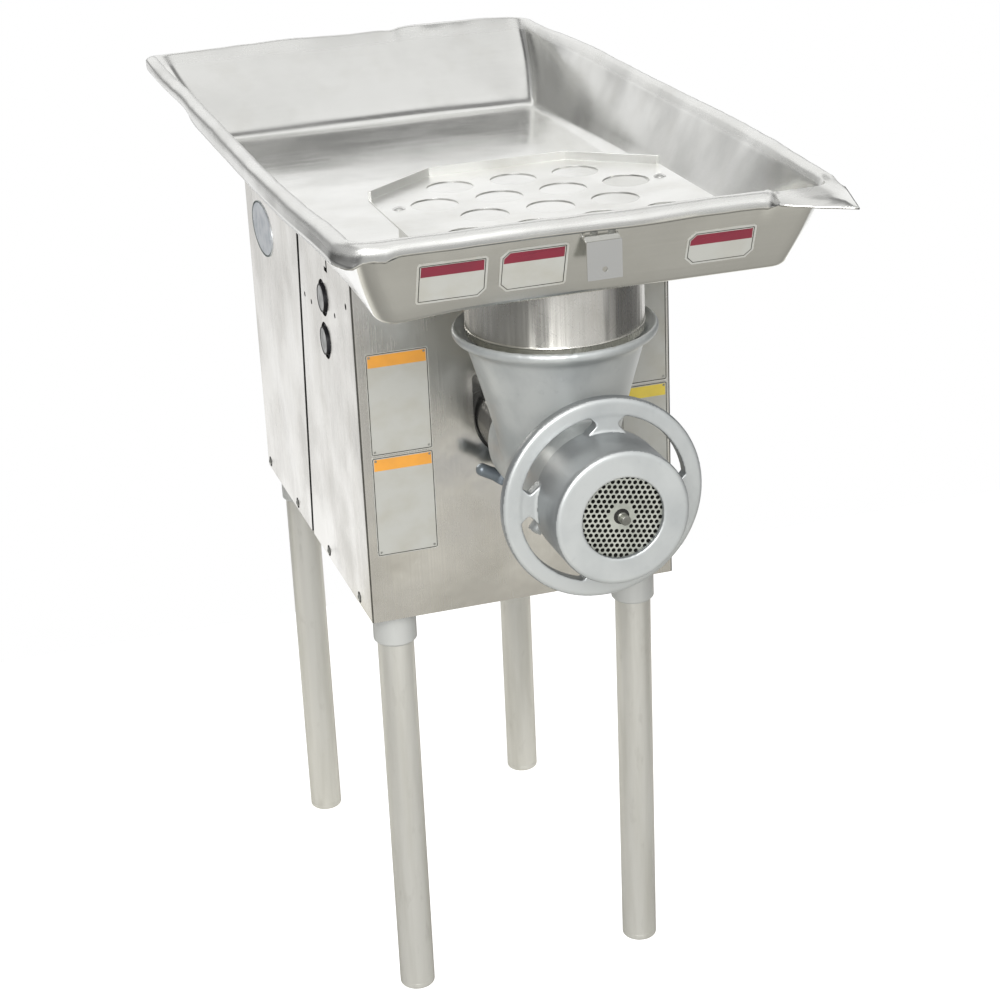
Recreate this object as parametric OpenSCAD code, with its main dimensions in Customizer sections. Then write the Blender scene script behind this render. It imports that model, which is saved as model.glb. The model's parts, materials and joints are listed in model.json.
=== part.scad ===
// Floor-standing electric meat grinder: a sheet-metal motor housing on four pipe legs,
// a cast grinding head at the front and a lift-off feed pan on top.
// Millimetres. +X is to the right, +Y to the back, +Z up. The origin is on the floor,
// under the middle of the whole machine, and y_mid is the middle of the housing. The head
// faces -Y.

/* [Housing] */
// Width of the housing
body_w = 360; // [340:5:480]
// Depth of the housing, front to back
body_d = 528; // [500:4:640]
// Height of the housing, underside to top cover
body_h = 430; // [400:5:500]
// Thickness of the housing's sheet
sheet = 2; // [1:0.5:3]
// Radius of the housing's upright bends
bend_r = 3; // [2.5:0.5:20]
// Depth of the front shell's side walls, halfway up
front_shell_d = 252; // [220:2:300]
// Slit between the front shell and the rear cover
shell_slit = 10; // [1:0.5:12]
// Lean of the slit, its top towards the front, in degrees
slit_lean = 6; // [0:1:8]
// Thickness of the base plate
base_t = 4; // [3:0.5:6]
// Height of the base plate's turned-up edge
base_lip = 22; // [16:1:40]
// Radius of the window round the gear case's nose
window_r = 51; // [50:0.5:60]
// Radius of the window's upper corners
window_corner_r = 5; // [2:1:12]

/* [Legs] */
// Height of the housing's underside above the floor
leg_h = 508; // [300:4:700]
// Outer diameter of a leg
leg_od = 42; // [30:1:48]
// Wall of a leg's pipe
leg_wall = 3; // [2:0.5:5]
// Distance between the left and right legs
leg_spread = 290; // [260:2:300]
// From the housing's front face to the front legs
leg_front_inset = 40; // [30:1:80]
// From the housing's rear face to the rear legs
leg_rear_inset = 27; // [27:1:80]
// Wall of a leg socket
socket_wall = 4; // [3:0.5:7]
// Height of a leg socket
socket_h = 43; // [30:1:70]
// Radius of the rounding under a leg
foot_r = 4; // [2:0.5:8]

/* [Pan] */
// Width of the pan's flat floor
pan_w = 424; // [380:4:520]
// Length of the pan's flat floor
pan_l = 803; // [700:5:900]
// How far the pan's floor reaches ahead of the housing
pan_over = 247; // [240:1:270]
// Height from the pan's floor to the top of its rim
pan_h = 91; // [70:1:120]
// How far each side of the rim stands out past the floor
pan_side_flare = 46; // [25:1:80]
// How far the front of the rim stands out past the floor
pan_front_flare = 37; // [25:1:80]
// How far the back of the rim stands out past the floor
pan_rear_flare = 128; // [30:1:150]
// Thickness of the pan's sheet
pan_t = 2; // [1.5:0.25:3]
// Radius of the rolled rim
rim_r = 9; // [6:0.5:12]
// Length of the rim's turned-down lip
rim_lip = 7; // [3:0.5:10]
// Radius of the rolled rim's corners
pan_corner_r = 26; // [20:1:60]
// Outer radius of the neck under the pan
neck_r = 92; // [80:0.5:92]
// Wall of the neck
neck_t = 2; // [1.5:0.25:3]
// Gap between the neck and the head's mouth
neck_clear = 4; // [3:0.5:8]

/* [Guard] */
// Height of the guard plate above the pan's floor
guard_h = 55; // [40:1:65]
// Thickness of the guard plate
guard_t = 2; // [1.5:0.25:4]
// Width of the guard plate
guard_w = 320; // [300:2:340]
// Length of the guard plate, front to back
guard_l = 281; // [270:1:281]
// Length of the guard's cut-off corners, across
guard_cut_x = 83; // [60:1:100]
// Length of the guard's cut-off corners, along
guard_cut_y = 66; // [40:1:70]
// Height of the guard's turned-up back edge
guard_lip = 11; // [5:1:18]
// Diameter of the guard's holes
guard_hole = 49; // [35:1:54]
// Distance between holes in a row
guard_pitch = 69; // [60:1:72]
// Distance between rows of holes
guard_row = 60; // [56:1:64]
// From the guard's back edge to its first row of holes
guard_edge = 55; // [48:1:60]

/* [Head] */
// Height of the barrel's axis above the housing's underside
axis_h = 223.5; // [215:0.5:240]
// From the housing's front face to the throat's axis
throat_out = 135; // [125:1:140]
// Inner radius of the barrel
bore_r = 43; // [38:0.5:44]
// Outer radius of the barrel where the ring screws on
barrel_r = 60; // [58:0.5:64]
// Length of the barrel, from the gear case's nose to its front end
barrel_l = 256; // [250:1:290]
// Thickness of the head's rear wall
head_rear_t = 27; // [20:1:32]
// Outer radius of the throat just under its lip
throat_r = 92; // [88:0.5:96]
// Thickness of the throat's wall
throat_t = 8; // [6:0.5:10]
// Outer radius of the throat's lip
lip_r = 106; // [104:0.5:112]
// Thickness of the lip's edge
lip_t = 8; // [5:0.5:10]
// Gap between the pan's floor and the throat's lip
lip_drop = 62; // [55:1:75]
// Diameter of the juice drain under the barrel
drain_d = 16; // [12:1:20]

/* [Cutting set] */
// Diameter of the grinding plate
plate_d = 98.4; // [94:0.2:100]
// Thickness of the grinding plate
plate_t = 12; // [10:0.5:14]
// How deep the plate sits in the barrel
plate_seat = 4; // [3:0.5:5]
// Diameter of the plate's holes
plate_hole = 4.2; // [2.5:0.1:4.5]
// Distance between the plate's holes
plate_pitch = 5.85; // [5.5:0.05:8]
// Radius of the plate's blank centre
plate_blank_r = 13; // [10.5:0.5:14]
// Thickness of the knife
knife_t = 14; // [10:0.5:16]
// Width of a knife blade at its tip
knife_blade = 11; // [8:0.5:14]
// Radius of the worm's core
worm_core_r = 22; // [20:0.5:24]
// Pitch of the worm's flight
worm_pitch = 60; // [45:1:80]
// Gap between the worm's flight and the barrel
worm_clear = 0.6; // [0.4:0.1:1]
// Radius of the worm's rear journal
journal_r = 20; // [18:0.5:20]
// Across the flats of the square drives
square_w = 22; // [18:0.5:24]
// Radius of the stud that carries the plate
stud_r = 8; // [6:0.5:8.5]
// How far the stud's nose stands out of the plate
stud_nose = 13; // [8:0.5:16]

/* [Ring] */
// Outer radius of the ring's hub
hub_r = 70; // [68:0.5:74]
// Outer radius of the ring's hand wheel
wheel_r = 106; // [100:1:116]
// Width of the hand wheel's rim
wheel_rim = 18; // [12:0.5:20]
// Thickness of the hand wheel
wheel_t = 14; // [10:0.5:18]
// Length of the ring's skirt, behind the plate
ring_skirt = 61.5; // [55:0.5:64]
// Thickness of the lip that holds the plate
ring_lip = 6; // [4:0.5:8]
// Radius of the ring's outlet
outlet_r = 42; // [38:0.5:44]
// Width of a spoke
spoke_w = 24; // [14:1:28]
// Turn of the spokes from upright, anticlockwise from the front
spoke_turn = -4; // [-45:1:45]
// Radius of the ring's rounded edges
ring_edge = 5; // [2:0.5:6]

/* [Gear case] */
// Radius of the nose that carries the head
nose_r = 48; // [46:0.5:49]
// How far the nose stands out of the housing
nose_out = 54; // [52:0.5:60]
// Radius of the socket for the head's spigot
socket_r = 34; // [33:0.5:36]
// Length of the head's spigot
spigot_l = 24; // [20:0.5:26]
// Wall of the gear case
case_wall = 7; // [5:0.5:9]
// Thickness of the gear case's bearing walls
case_face = 14; // [12:0.5:18]
// Gap from the housing's front sheet to the gear case
case_clear = 4; // [2:0.5:8]
// Module of the output gears
output_module = 3; // [2.8:0.1:3]
// Module of the motor gears
motor_module = 2.4; // [2.2:0.1:2.6]
// Face width of the output gears
output_face = 26; // [20:1:30]
// Face width of the motor gears
motor_face = 16; // [12:1:20]
// Play between the teeth
tooth_play = 0.4; // [0.3:0.05:0.5]
// Direction of the lay shaft from the barrel's axis, in degrees
lay_dir = -50; // [-60:1:-46]
// Radius of the lay shaft
lay_r = 10; // [8:0.5:11]

/* [Motor] */
// Outer radius of the motor's frame
motor_r = 86; // [80:1:90]
// Length of the motor's frame
motor_l = 230; // [210:2:260]
// Wall of the motor's frame
motor_wall = 5; // [4:0.5:8]
// Length of the stator and the rotor core
core_l = 120; // [100:2:140]
// Radius of the rotor core
rotor_r = 47; // [40:1:52]
// Gap between rotor and stator
air_gap = 0.5; // [0.4:0.1:1]
// Radius of the motor's shaft
motor_shaft_r = 11; // [9:0.5:11]
// Thickness of the motor's end bells
bell_t = 16; // [14:0.5:20]
// Radius of the motor's fan
fan_r = 68; // [55:1:72]

/* [Controls] */
// Height of the start button above the housing's underside
start_h = 343; // [320:1:370]
// Distance from the start button down to the stop button
button_drop = 50; // [46:1:60]
// From the housing's front face to the buttons
button_in = 130; // [110:1:150]
// Radius of a button's hole in the sheet
button_hole_r = 21; // [19:0.5:22]
// Radius of a button's cap
button_r = 16; // [12:0.5:17]
// How far a button's cap stands out of the sheet's face
button_proud = 3; // [0:0.5:4]
// Travel of a button
button_travel = 4; // [2:0.5:5]

/* [Clamp] */
// Direction of the clamp screw round the barrel's axis, in degrees
clamp_dir = 241; // [230:1:255]
// Radius of the clamp screw
clamp_r = 5; // [4:0.5:6]
// Distance of the clamp's bar from the barrel's axis
clamp_out = 66; // [64:0.5:74]
// Radius of the clamp's bar
clamp_bar_r = 7; // [5:0.5:8]
// Length of the clamp's bar
clamp_bar_l = 54; // [40:1:56]

/* [Fits] */
// Gap between a shaft and its hole, on the radius
run_gap = 0.08; // [0.05:0.01:0.1]
// Gap between faces of pieces that move apart
face_gap = 0.3; // [0.2:0.05:0.4]

/* [Hidden] */
$fn = 64;
hull_fn = 32;
small = 0.01;
through = 1;

// Heights
z_body = leg_h;
z_top = z_body + body_h;
z_pan = z_top + face_gap;
z_rim = z_pan + pan_t + pan_h;
z_axis = z_body + axis_h;
z_lip = z_pan - lip_drop;
z_guard = z_pan + pan_t + guard_h;

// Cable gland at the back
gland_x = 110;
gland_h = 60;
gland_thread_r = 10;
gland_bore_r = 5.5;
gland_nut_r = 15;
gland_nut_t = 8;
gland_out = 24;
gland_in = 14;
gland_chamfer = 2;
gland_lip = 3;

// Places along the depth. The stud's nose or the pan's rim reaches furthest to the front,
// and the pan's rim or the cable gland to the back.
head_reach = nose_out + barrel_l - plate_seat + plate_t + max(stud_nose, face_gap + ring_lip);
front_reach = body_d / 2 + max(head_reach, pan_over + pan_front_flare + rim_r);
back_reach = max(body_d / 2 + gland_out, pan_l - pan_over + pan_rear_flare + rim_r - body_d / 2);
y_mid = (front_reach - back_reach) / 2;
y_front = y_mid - body_d / 2;
y_back = y_mid + body_d / 2;
y_throat = y_front - throat_out;
y_nose = y_front - nose_out;
y_barrel = y_nose - barrel_l;
y_plate_back = y_barrel + plate_seat;
y_plate_front = y_plate_back - plate_t;
y_ring_front = y_plate_front - face_gap - ring_lip;
y_ring_back = y_plate_front + ring_skirt;
y_case_front = y_front + sheet + case_clear;
y_shell_end = y_front + front_shell_d;

// Gear train: fifteen teeth drive forty-five, twice over
pinion_teeth = 15;
gear_teeth = 45;
pressure_angle = 20;
tip_clear = 0.25;
output_centres = output_module * (pinion_teeth + gear_teeth) / 2;
motor_centres = motor_module * (pinion_teeth + gear_teeth) / 2;
lay_x = output_centres * cos(lay_dir);
lay_z = z_axis + output_centres * sin(lay_dir);
motor_z = lay_z - sqrt(pow(motor_centres, 2) - pow(lay_x, 2));
motor_dir = atan2(motor_z - lay_z, -lay_x);
gear_side_gap = 2;
bearing_w = 10;
shaft_room = 2;
y_output_gear = y_case_front + case_face + gear_side_gap;
y_motor_gear = y_output_gear + output_face + 3 * gear_side_gap;
y_cover = y_motor_gear + motor_face + 2 * gear_side_gap;
y_motor = y_cover + case_face;

// Shafts in the gear case's nose
y_spigot = y_nose + spigot_l;
seal_w = 7;
nose_bearing_w = 14;
bearing_r = 32;
seal_gap = 2;
bearing_gap = 1;
y_seal = y_spigot + seal_gap;
y_nose_bearing = y_seal + seal_w + bearing_gap;
lay_bearing_r = 20;
socket_depth = 24;
tang_gap = 0.2;

// Motor
y_frame = y_motor + bell_t;
y_frame_end = y_frame + motor_l;
core_start = 34;
y_core = y_frame + core_start;
motor_bearing_r = 24;
fan_l = 18;

module y_cyl(r, y0, y1, x = 0, z = 0)
    translate([x, y1, z])
        rotate([90, 0, 0])
            cylinder(r = r, h = y1 - y0);

module y_prism(y0, y1)
    translate([0, y1, 0])
        rotate([90, 0, 0])
            linear_extrude(height = y1 - y0)
                children();

// A ring along Y, centred on x, z
module y_tube(r_out, r_in, y0, y1, x = 0, z = 0)
    difference() {
        y_cyl(r_out, y0, y1, x, z);
        y_cyl(r_in, y0 - through, y1 + through, x, z);
    }

// A rounded rectangle, w wide and d deep
module plan_rect(w, d, r)
    union() {
        square([w - 2 * r, d], center = true);
        square([w, d - 2 * r], center = true);
        for (sx = [-1, 1], sy = [-1, 1])
            translate([sx * (w / 2 - r), sy * (d / 2 - r)])
                circle(r = r);
    }

// --- Housing ---

// The bends' inner radius, down to almost sharp in a thick sheet
inner_bend_r = max(bend_r - sheet, small);

module shell_walls()
    translate([0, y_mid, z_body])
        linear_extrude(height = body_h - sheet)
            difference() {
                plan_rect(body_w, body_d, bend_r);
                plan_rect(body_w - 2 * sheet, body_d - 2 * sheet, inner_bend_r);
            }

// What lies in front of the slit's line, which is at y halfway up
module ahead_of(y)
    translate([0, y, z_body + body_h / 2])
        rotate([slit_lean, 0, 0])
            translate([-body_w, -2 * body_d, -body_h])
                cube([2 * body_w, 2 * body_d, 2 * body_h]);

// Side screws hold both shells to the base plate's lip
screw_h = 9;
screw_r = 2;
screw_head_r = 5.5;
screw_head_t = 2.2;
screw_l = 9;
front_screw_in = 55;
rear_screw_in = 14;
slit_screw_out = 55;
slit_screw_back = 106;
screw_ys = [y_front + front_screw_in, y_shell_end - slit_screw_out,
            y_shell_end + slit_screw_back, y_back - rear_screw_in - sheet];
rear_screw_x = 120;

// Children point out of the sheet along +Z, at each screw's place on the face
module at_screws() {
    for (side = [-1, 1], y = screw_ys)
        translate([side * body_w / 2, y, z_body + screw_h])
            rotate([0, side * 90, 0])
                children();
    for (side = [-1, 1])
        translate([side * rear_screw_x, y_back, z_body + screw_h])
            rotate([-90, 0, 0])
                children();
}

module screw_holes()
    at_screws()
        translate([0, 0, -screw_l - through])
            cylinder(r = screw_r + run_gap, h = screw_l + 2 * through);

module window_shape()
    translate([0, z_axis]) {
        circle(r = window_r);
        translate([0, (window_r - window_corner_r) / 2])
            plan_rect(2 * window_r, window_r + window_corner_r, window_corner_r);
    }

button_y = y_front + button_in;
start_z = z_body + start_h;
stop_z = start_z - button_drop;

module at_buttons()
    for (z = [start_z, stop_z])
        translate([-body_w / 2, button_y, z])
            rotate([0, 90, 0])
                children();

// Small holes beside the buttons: [from the front face, above the start button, radius]
side_holes = [[222, -22, 3], [190, -22, 3], [78, -6, 3], [24, 20, 3.5]];
side_slot_w = 5;
side_slot_l = 14;
side_slot_in = 100;
side_slot_up = 36;

module side_hole_set() {
    for (h = side_holes)
        translate([-body_w / 2 - through, y_front + h[0], start_z + h[1]])
            rotate([0, 90, 0])
                cylinder(r = h[2], h = sheet + 2 * through);
    translate([-body_w / 2 - through, y_front + side_slot_in, start_z + side_slot_up]) {
        cube([sheet + 2 * through, side_slot_w, side_slot_l]);
        cube([sheet + 2 * through, side_slot_l, side_slot_w]);
    }
}

module front_shell()
    color("silver")
        difference() {
            intersection() {
                shell_walls();
                ahead_of(y_shell_end);
            }
            y_prism(y_front - through, y_front + sheet + through)
                window_shape();
            at_buttons()
                translate([0, 0, -through])
                    cylinder(r = button_hole_r, h = sheet + 2 * through);
            side_hole_set();
            screw_holes();
        }

module rear_cover()
    color("silver")
        difference() {
            shell_walls();
            ahead_of(y_shell_end + shell_slit);
            y_cyl(gland_thread_r + run_gap, y_back - sheet - through, y_back + through,
                  gland_x, z_body + gland_h);
            screw_holes();
        }

module top_cover()
    color("silver")
        translate([0, y_mid, z_top - sheet])
            linear_extrude(height = sheet)
                plan_rect(body_w, body_d, bend_r);

module base_plate()
    color("gray")
        difference() {
            translate([0, y_mid, z_body])
                linear_extrude(height = base_lip)
                    plan_rect(body_w - 2 * sheet, body_d - 2 * sheet, inner_bend_r);
            translate([0, y_mid, z_body + base_t])
                linear_extrude(height = base_lip)
                    plan_rect(body_w - 2 * (sheet + base_t), body_d - 2 * (sheet + base_t),
                              inner_bend_r);
            screw_holes();
        }

module housing_screws()
    color("dimgray")
        at_screws() {
            translate([0, 0, -screw_l])
                cylinder(r = screw_r, h = screw_l);
            rotate_extrude()
                intersection() {
                    translate([0, screw_head_t - screw_head_r])
                        circle(r = screw_head_r);
                    square([screw_head_r, screw_head_t]);
                }
        }

// --- Legs ---

leg_x = leg_spread / 2;
leg_y_front = y_front + leg_front_inset;
leg_y_rear = y_back - leg_rear_inset;
leg_top_gap = 8;
socket_r_out = leg_od / 2 + socket_wall;
socket_chamfer = 3;
plug_t = 8;
plug_l = 20;

module leg_socket(x, y)
    color("gainsboro")
        translate([x, y, z_body - socket_h])
            difference() {
                union() {
                    cylinder(r1 = socket_r_out - socket_chamfer, r2 = socket_r_out,
                             h = socket_chamfer);
                    translate([0, 0, socket_chamfer])
                        cylinder(r = socket_r_out, h = socket_h - socket_chamfer);
                }
                translate([0, 0, -through])
                    cylinder(r = leg_od / 2 + run_gap, h = socket_h - leg_top_gap + through);
            }

module leg(x, y)
    color("lightgray")
        translate([x, y, plug_t])
            difference() {
                cylinder(r = leg_od / 2, h = z_body - leg_top_gap - plug_t);
                translate([0, 0, -through])
                    cylinder(r = leg_od / 2 - leg_wall, h = z_body);
            }

module leg_plug()
    rotate_extrude()
        union() {
            translate([0, foot_r])
                square([leg_od / 2, plug_t - foot_r]);
            square([leg_od / 2 - foot_r, foot_r]);
            intersection() {
                translate([leg_od / 2 - foot_r, foot_r])
                    circle(r = foot_r);
                square([leg_od / 2, foot_r]);
            }
            translate([0, foot_r])
                square([leg_od / 2 - leg_wall - run_gap, plug_t + plug_l - foot_r]);
        }

module leg_plugs()
    color("lightgray")
        for (sx = [-1, 1], y = [leg_y_front, leg_y_rear])
            translate([sx * leg_x, y, 0])
                leg_plug();

// --- Blank plates, gland ---

plate_skin = 0.6;
notice_w = 70;
notice_gap = 1.5;
notice_h = 117;
notice_edge = 11;
notice_top = 315;
notice_right_w = 55;
notice_right_edge = 4;
notice_right_top = 372;
notice_right_h = 136;

// Front plates: two on the left of the window and two on the right
module panel_plates()
    color("white")
        for (i = [0, 1]) {
            translate([-body_w / 2 + notice_edge, y_front - plate_skin,
                       z_body + notice_top - notice_h - i * (notice_h + notice_gap)])
                cube([notice_w, plate_skin, notice_h]);
            translate([body_w / 2 - notice_right_edge - notice_right_w, y_front - plate_skin,
                       z_body + notice_right_top - notice_right_h
                       - i * (notice_right_h + notice_gap)])
                cube([notice_right_w, plate_skin, notice_right_h]);
        }

oval_w = 110;
oval_h = 66;
oval_back = 92;
oval_up = 344;
oval_points = 48;
oval_t = 1;

module oval_plate()
    color("lightsteelblue")
        translate([-body_w / 2, y_back - oval_back, z_body + oval_up])
            rotate([0, -90, 0])
                linear_extrude(height = oval_t)
                    polygon([for (i = [0 : oval_points - 1])
                             let (a = i * 360 / oval_points)
                             [oval_h / 2 * cos(a), oval_w / 2 * sin(a)]]);

module cable_gland()
    color("black")
        translate([gland_x, y_back, z_body + gland_h])
            rotate([-90, 0, 0])
                difference() {
                    union() {
                        translate([0, 0, -sheet - gland_in])
                            cylinder(r = gland_thread_r, h = sheet + gland_in + small);
                        translate([0, 0, -sheet - gland_nut_t])
                            cylinder(r = gland_nut_r, h = gland_nut_t, $fn = 6);
                        cylinder(r = gland_nut_r, h = gland_nut_t, $fn = 6);
                        translate([0, 0, gland_nut_t])
                            cylinder(r1 = gland_nut_r - gland_chamfer, r2 = gland_bore_r + gland_lip,
                                     h = gland_out - gland_nut_t);
                    }
                    translate([0, 0, -sheet - gland_in - through])
                        cylinder(r = gland_bore_r, h = gland_in + gland_out + sheet + 2 * through);
                }

// --- Gear case ---

function inv_deg(a) = tan(a) * 180 / PI - a;

// Half the angle that a tooth takes up at radius r
function tooth_half(n, m, r) =
    let (base = n * m / 2 * cos(pressure_angle), rr = max(r, base))
    90 / n - tooth_play / (n * m) * 90 / PI + inv_deg(pressure_angle) - inv_deg(acos(base / rr));

// Heights of the points along a tooth's side from the pitch circle, in modules
tooth_points = [-1 - tip_clear, -0.35, 0.4, 1];

// A spur gear with n teeth of module m; the first tooth points along the given direction
module gear_shape(n, m, dir) {
    radii = [for (h = tooth_points) n * m / 2 + h * m];
    polygon([for (k = [0 : n - 1], s = [-1, 1], i = [0 : 3])
             let (j = s < 0 ? i : 3 - i, a = dir + k * 360 / n + s * tooth_half(n, m, radii[j]))
             radii[j] * [cos(a), sin(a)]]);
}

module spur_gear(n, m, dir, hole, y0, w, x, z)
    difference() {
        y_prism(y0, y0 + w)
            translate([x, z])
                gear_shape(n, m, dir);
        y_cyl(hole, y0 - through, y0 + w + through, x, z);
    }

tip_room = 6;
output_room = (gear_teeth / 2 + 1) * output_module + tip_room;
lay_room = (gear_teeth / 2 + 1) * motor_module + tip_room;
pinion_room = (pinion_teeth / 2 + 1) * motor_module + tip_room;

module case_outline(extra)
    hull() {
        translate([0, z_axis])
            circle(r = output_room + extra, $fn = hull_fn);
        translate([lay_x, lay_z])
            circle(r = lay_room + extra, $fn = hull_fn);
        translate([0, motor_z])
            circle(r = pinion_room + extra, $fn = hull_fn);
    }

case_foot_w = 120;
case_foot_t = 10;
case_web_t = 12;

module gear_case()
    color("darkgray")
        difference() {
            union() {
                y_prism(y_case_front, y_cover)
                    case_outline(case_wall);
                y_cyl(nose_r, y_nose, y_case_front + small, 0, z_axis);
                translate([-case_foot_w / 2, y_case_front, z_body + base_t])
                    cube([case_foot_w, y_cover - y_case_front, case_foot_t]);
                for (x = [-case_foot_w / 2, case_foot_w / 2 - case_web_t])
                    translate([x, y_case_front, z_body + base_t])
                        cube([case_web_t, y_cover - y_case_front,
                              motor_z - z_body - base_t + pinion_room]);
            }
            y_prism(y_case_front + case_face, y_cover + through)
                case_outline(0);
            y_cyl(socket_r + run_gap, y_nose - through, y_spigot, 0, z_axis);
            y_cyl(bearing_r + run_gap, y_spigot - small, y_case_front + case_face + through,
                  0, z_axis);
            y_cyl(lay_bearing_r + run_gap, y_case_front + case_face - bearing_w,
                  y_case_front + case_face + through, lay_x, lay_z);
            clamp_place()
                cylinder(r = clamp_r + run_gap, h = nose_r + through);
        }

module gear_cover()
    color("darkgray")
        difference() {
            y_prism(y_cover, y_motor)
                case_outline(case_wall);
            y_cyl(bearing_r + run_gap, y_cover - through, y_cover + bearing_w, 0, z_axis);
            y_cyl(lay_bearing_r + run_gap, y_cover - through, y_cover + bearing_w,
                  lay_x, lay_z);
            y_cyl(motor_shaft_r + shaft_room, y_cover - through, y_motor + through, 0, motor_z);
        }

module gear_bearings()
    color("steelblue") {
        y_tube(bearing_r, journal_r + run_gap, y_nose_bearing, y_nose_bearing + nose_bearing_w,
               0, z_axis);
        y_tube(bearing_r, journal_r + run_gap, y_cover, y_cover + bearing_w, 0, z_axis);
        y_tube(lay_bearing_r, lay_r + run_gap, y_case_front + case_face - bearing_w,
               y_case_front + case_face, lay_x, lay_z);
        y_tube(lay_bearing_r, lay_r + run_gap, y_cover, y_cover + bearing_w, lay_x, lay_z);
    }

module shaft_seal()
    color("black")
        y_tube(bearing_r, journal_r + run_gap, y_seal, y_seal + seal_w, 0, z_axis);

module square_prism(w, y0, y1)
    translate([-w / 2, y0, z_axis - w / 2])
        cube([w, y1 - y0, w]);

module drive_shaft()
    color("slategray")
        difference() {
            y_cyl(journal_r, y_spigot + face_gap, y_cover + bearing_w - face_gap, 0, z_axis);
            square_prism(square_w, y_spigot - through, y_spigot + socket_depth);
        }

module output_gear()
    color("slategray")
        spur_gear(gear_teeth, output_module, lay_dir, journal_r + run_gap,
                  y_output_gear, output_face, 0, z_axis);

module lay_pinion()
    color("slategray")
        spur_gear(pinion_teeth, output_module, lay_dir + 180 + 180 / pinion_teeth,
                  lay_r + run_gap, y_output_gear, output_face, lay_x, lay_z);

module lay_gear()
    color("slategray")
        spur_gear(gear_teeth, motor_module, motor_dir, lay_r + run_gap,
                  y_motor_gear, motor_face, lay_x, lay_z);

module lay_shaft()
    color("slategray")
        y_cyl(lay_r, y_case_front + case_face - bearing_w + face_gap,
              y_cover + bearing_w - face_gap, lay_x, lay_z);

// --- Motor ---

module motor_pinion()
    color("slategray")
        spur_gear(pinion_teeth, motor_module, motor_dir + 180 + 180 / pinion_teeth,
                  motor_shaft_r + run_gap, y_motor_gear, motor_face, 0, motor_z);

module motor_frame()
    color("dimgray")
        y_tube(motor_r, motor_r - motor_wall, y_frame, y_frame_end, 0, motor_z);

module motor_bell_front()
    color("gray")
        difference() {
            y_cyl(motor_r, y_motor, y_frame, 0, motor_z);
            y_cyl(motor_bearing_r + run_gap, y_frame - bearing_w, y_frame + through, 0, motor_z);
            y_cyl(motor_shaft_r + shaft_room, y_motor - through, y_frame + through, 0, motor_z);
        }

module motor_bell_rear()
    color("gray")
        difference() {
            y_cyl(motor_r, y_frame_end, y_frame_end + bell_t, 0, motor_z);
            y_cyl(motor_bearing_r + run_gap, y_frame_end - through, y_frame_end + bearing_w,
                  0, motor_z);
        }

module motor_bearings()
    color("steelblue")
        for (y = [y_frame - bearing_w, y_frame_end])
            y_tube(motor_bearing_r, motor_shaft_r + run_gap, y, y + bearing_w, 0, motor_z);

foot_w = 150;
foot_l = 40;
foot_in = 30;

module motor_feet()
    color("dimgray")
        for (y = [y_frame + foot_in, y_frame_end - foot_in - foot_l])
            difference() {
                translate([-foot_w / 2, y, z_body + base_t])
                    cube([foot_w, foot_l, motor_z - z_body - base_t - motor_r / 2]);
                y_cyl(motor_r + run_gap, y - through, y + foot_l + through, 0, motor_z);
            }

module motor_stator()
    color("peru")
        y_tube(motor_r - motor_wall - run_gap, rotor_r + air_gap, y_core, y_core + core_l,
               0, motor_z);

module rotor_shaft()
    color("slategray")
        y_cyl(motor_shaft_r, y_motor_gear, y_frame_end + bearing_w - face_gap, 0, motor_z);

module rotor_core()
    color("lightslategray")
        y_tube(rotor_r, motor_shaft_r + run_gap, y_core, y_core + core_l, 0, motor_z);

fan_blades = 8;
fan_blade_t = 3;
fan_hub_r = 22;

module motor_fan()
    color("darkslategray")
        difference() {
            y_prism(y_core + core_l + fan_l, y_core + core_l + 2 * fan_l)
                translate([0, motor_z]) {
                    circle(r = fan_hub_r);
                    for (i = [0 : fan_blades - 1])
                        rotate(i * 360 / fan_blades)
                            translate([0, -fan_blade_t / 2])
                                square([fan_r, fan_blade_t]);
                }
            y_cyl(motor_shaft_r + run_gap, y_core, y_frame_end, 0, motor_z);
        }

cap_r = 22;
cap_l = 110;
cap_x = -120;
cap_in = 60;

module capacitor()
    color("dimgray")
        translate([cap_x, y_back - sheet - cap_in, z_body + base_t])
            cylinder(r = cap_r, h = cap_l);

// --- Switches ---

block_t = 12;
block_edge = 8;
block_depth = 36;
stem_r = 6;
face_t = 5;

module switch_block()
    color("black")
        difference() {
            translate([-body_w / 2 + sheet, button_y - button_hole_r - block_edge,
                       stop_z - button_hole_r - block_edge])
                cube([block_depth, 2 * (button_hole_r + block_edge),
                      button_drop + 2 * (button_hole_r + block_edge)]);
            at_buttons() {
                cylinder(r = button_r + face_gap,
                         h = sheet + block_depth - block_t);
                cylinder(r = stem_r + face_gap, h = sheet + block_depth + through);
            }
        }

module push_button(z)
    color("gainsboro")
        translate([-body_w / 2 - button_proud, button_y, z])
            rotate([0, 90, 0]) {
                cylinder(r = button_r, h = face_t);
                cylinder(r = stem_r, h = sheet + block_depth + button_proud - button_travel);
            }

module start_button()
    push_button(start_z);

module stop_button()
    push_button(stop_z);

// --- Head ---

// The throat flares from the barrel to just under its lip, then turns out into the lip
throat_neck = 10;
throat_lap = 2;
throat_h = z_lip - z_axis - lip_t - throat_neck;
flare = 1.18;
throat_steps = 12;
function throat_out_r(t) = barrel_r + (throat_r - barrel_r) * pow(t, flare);
lip_round = 2;

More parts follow.
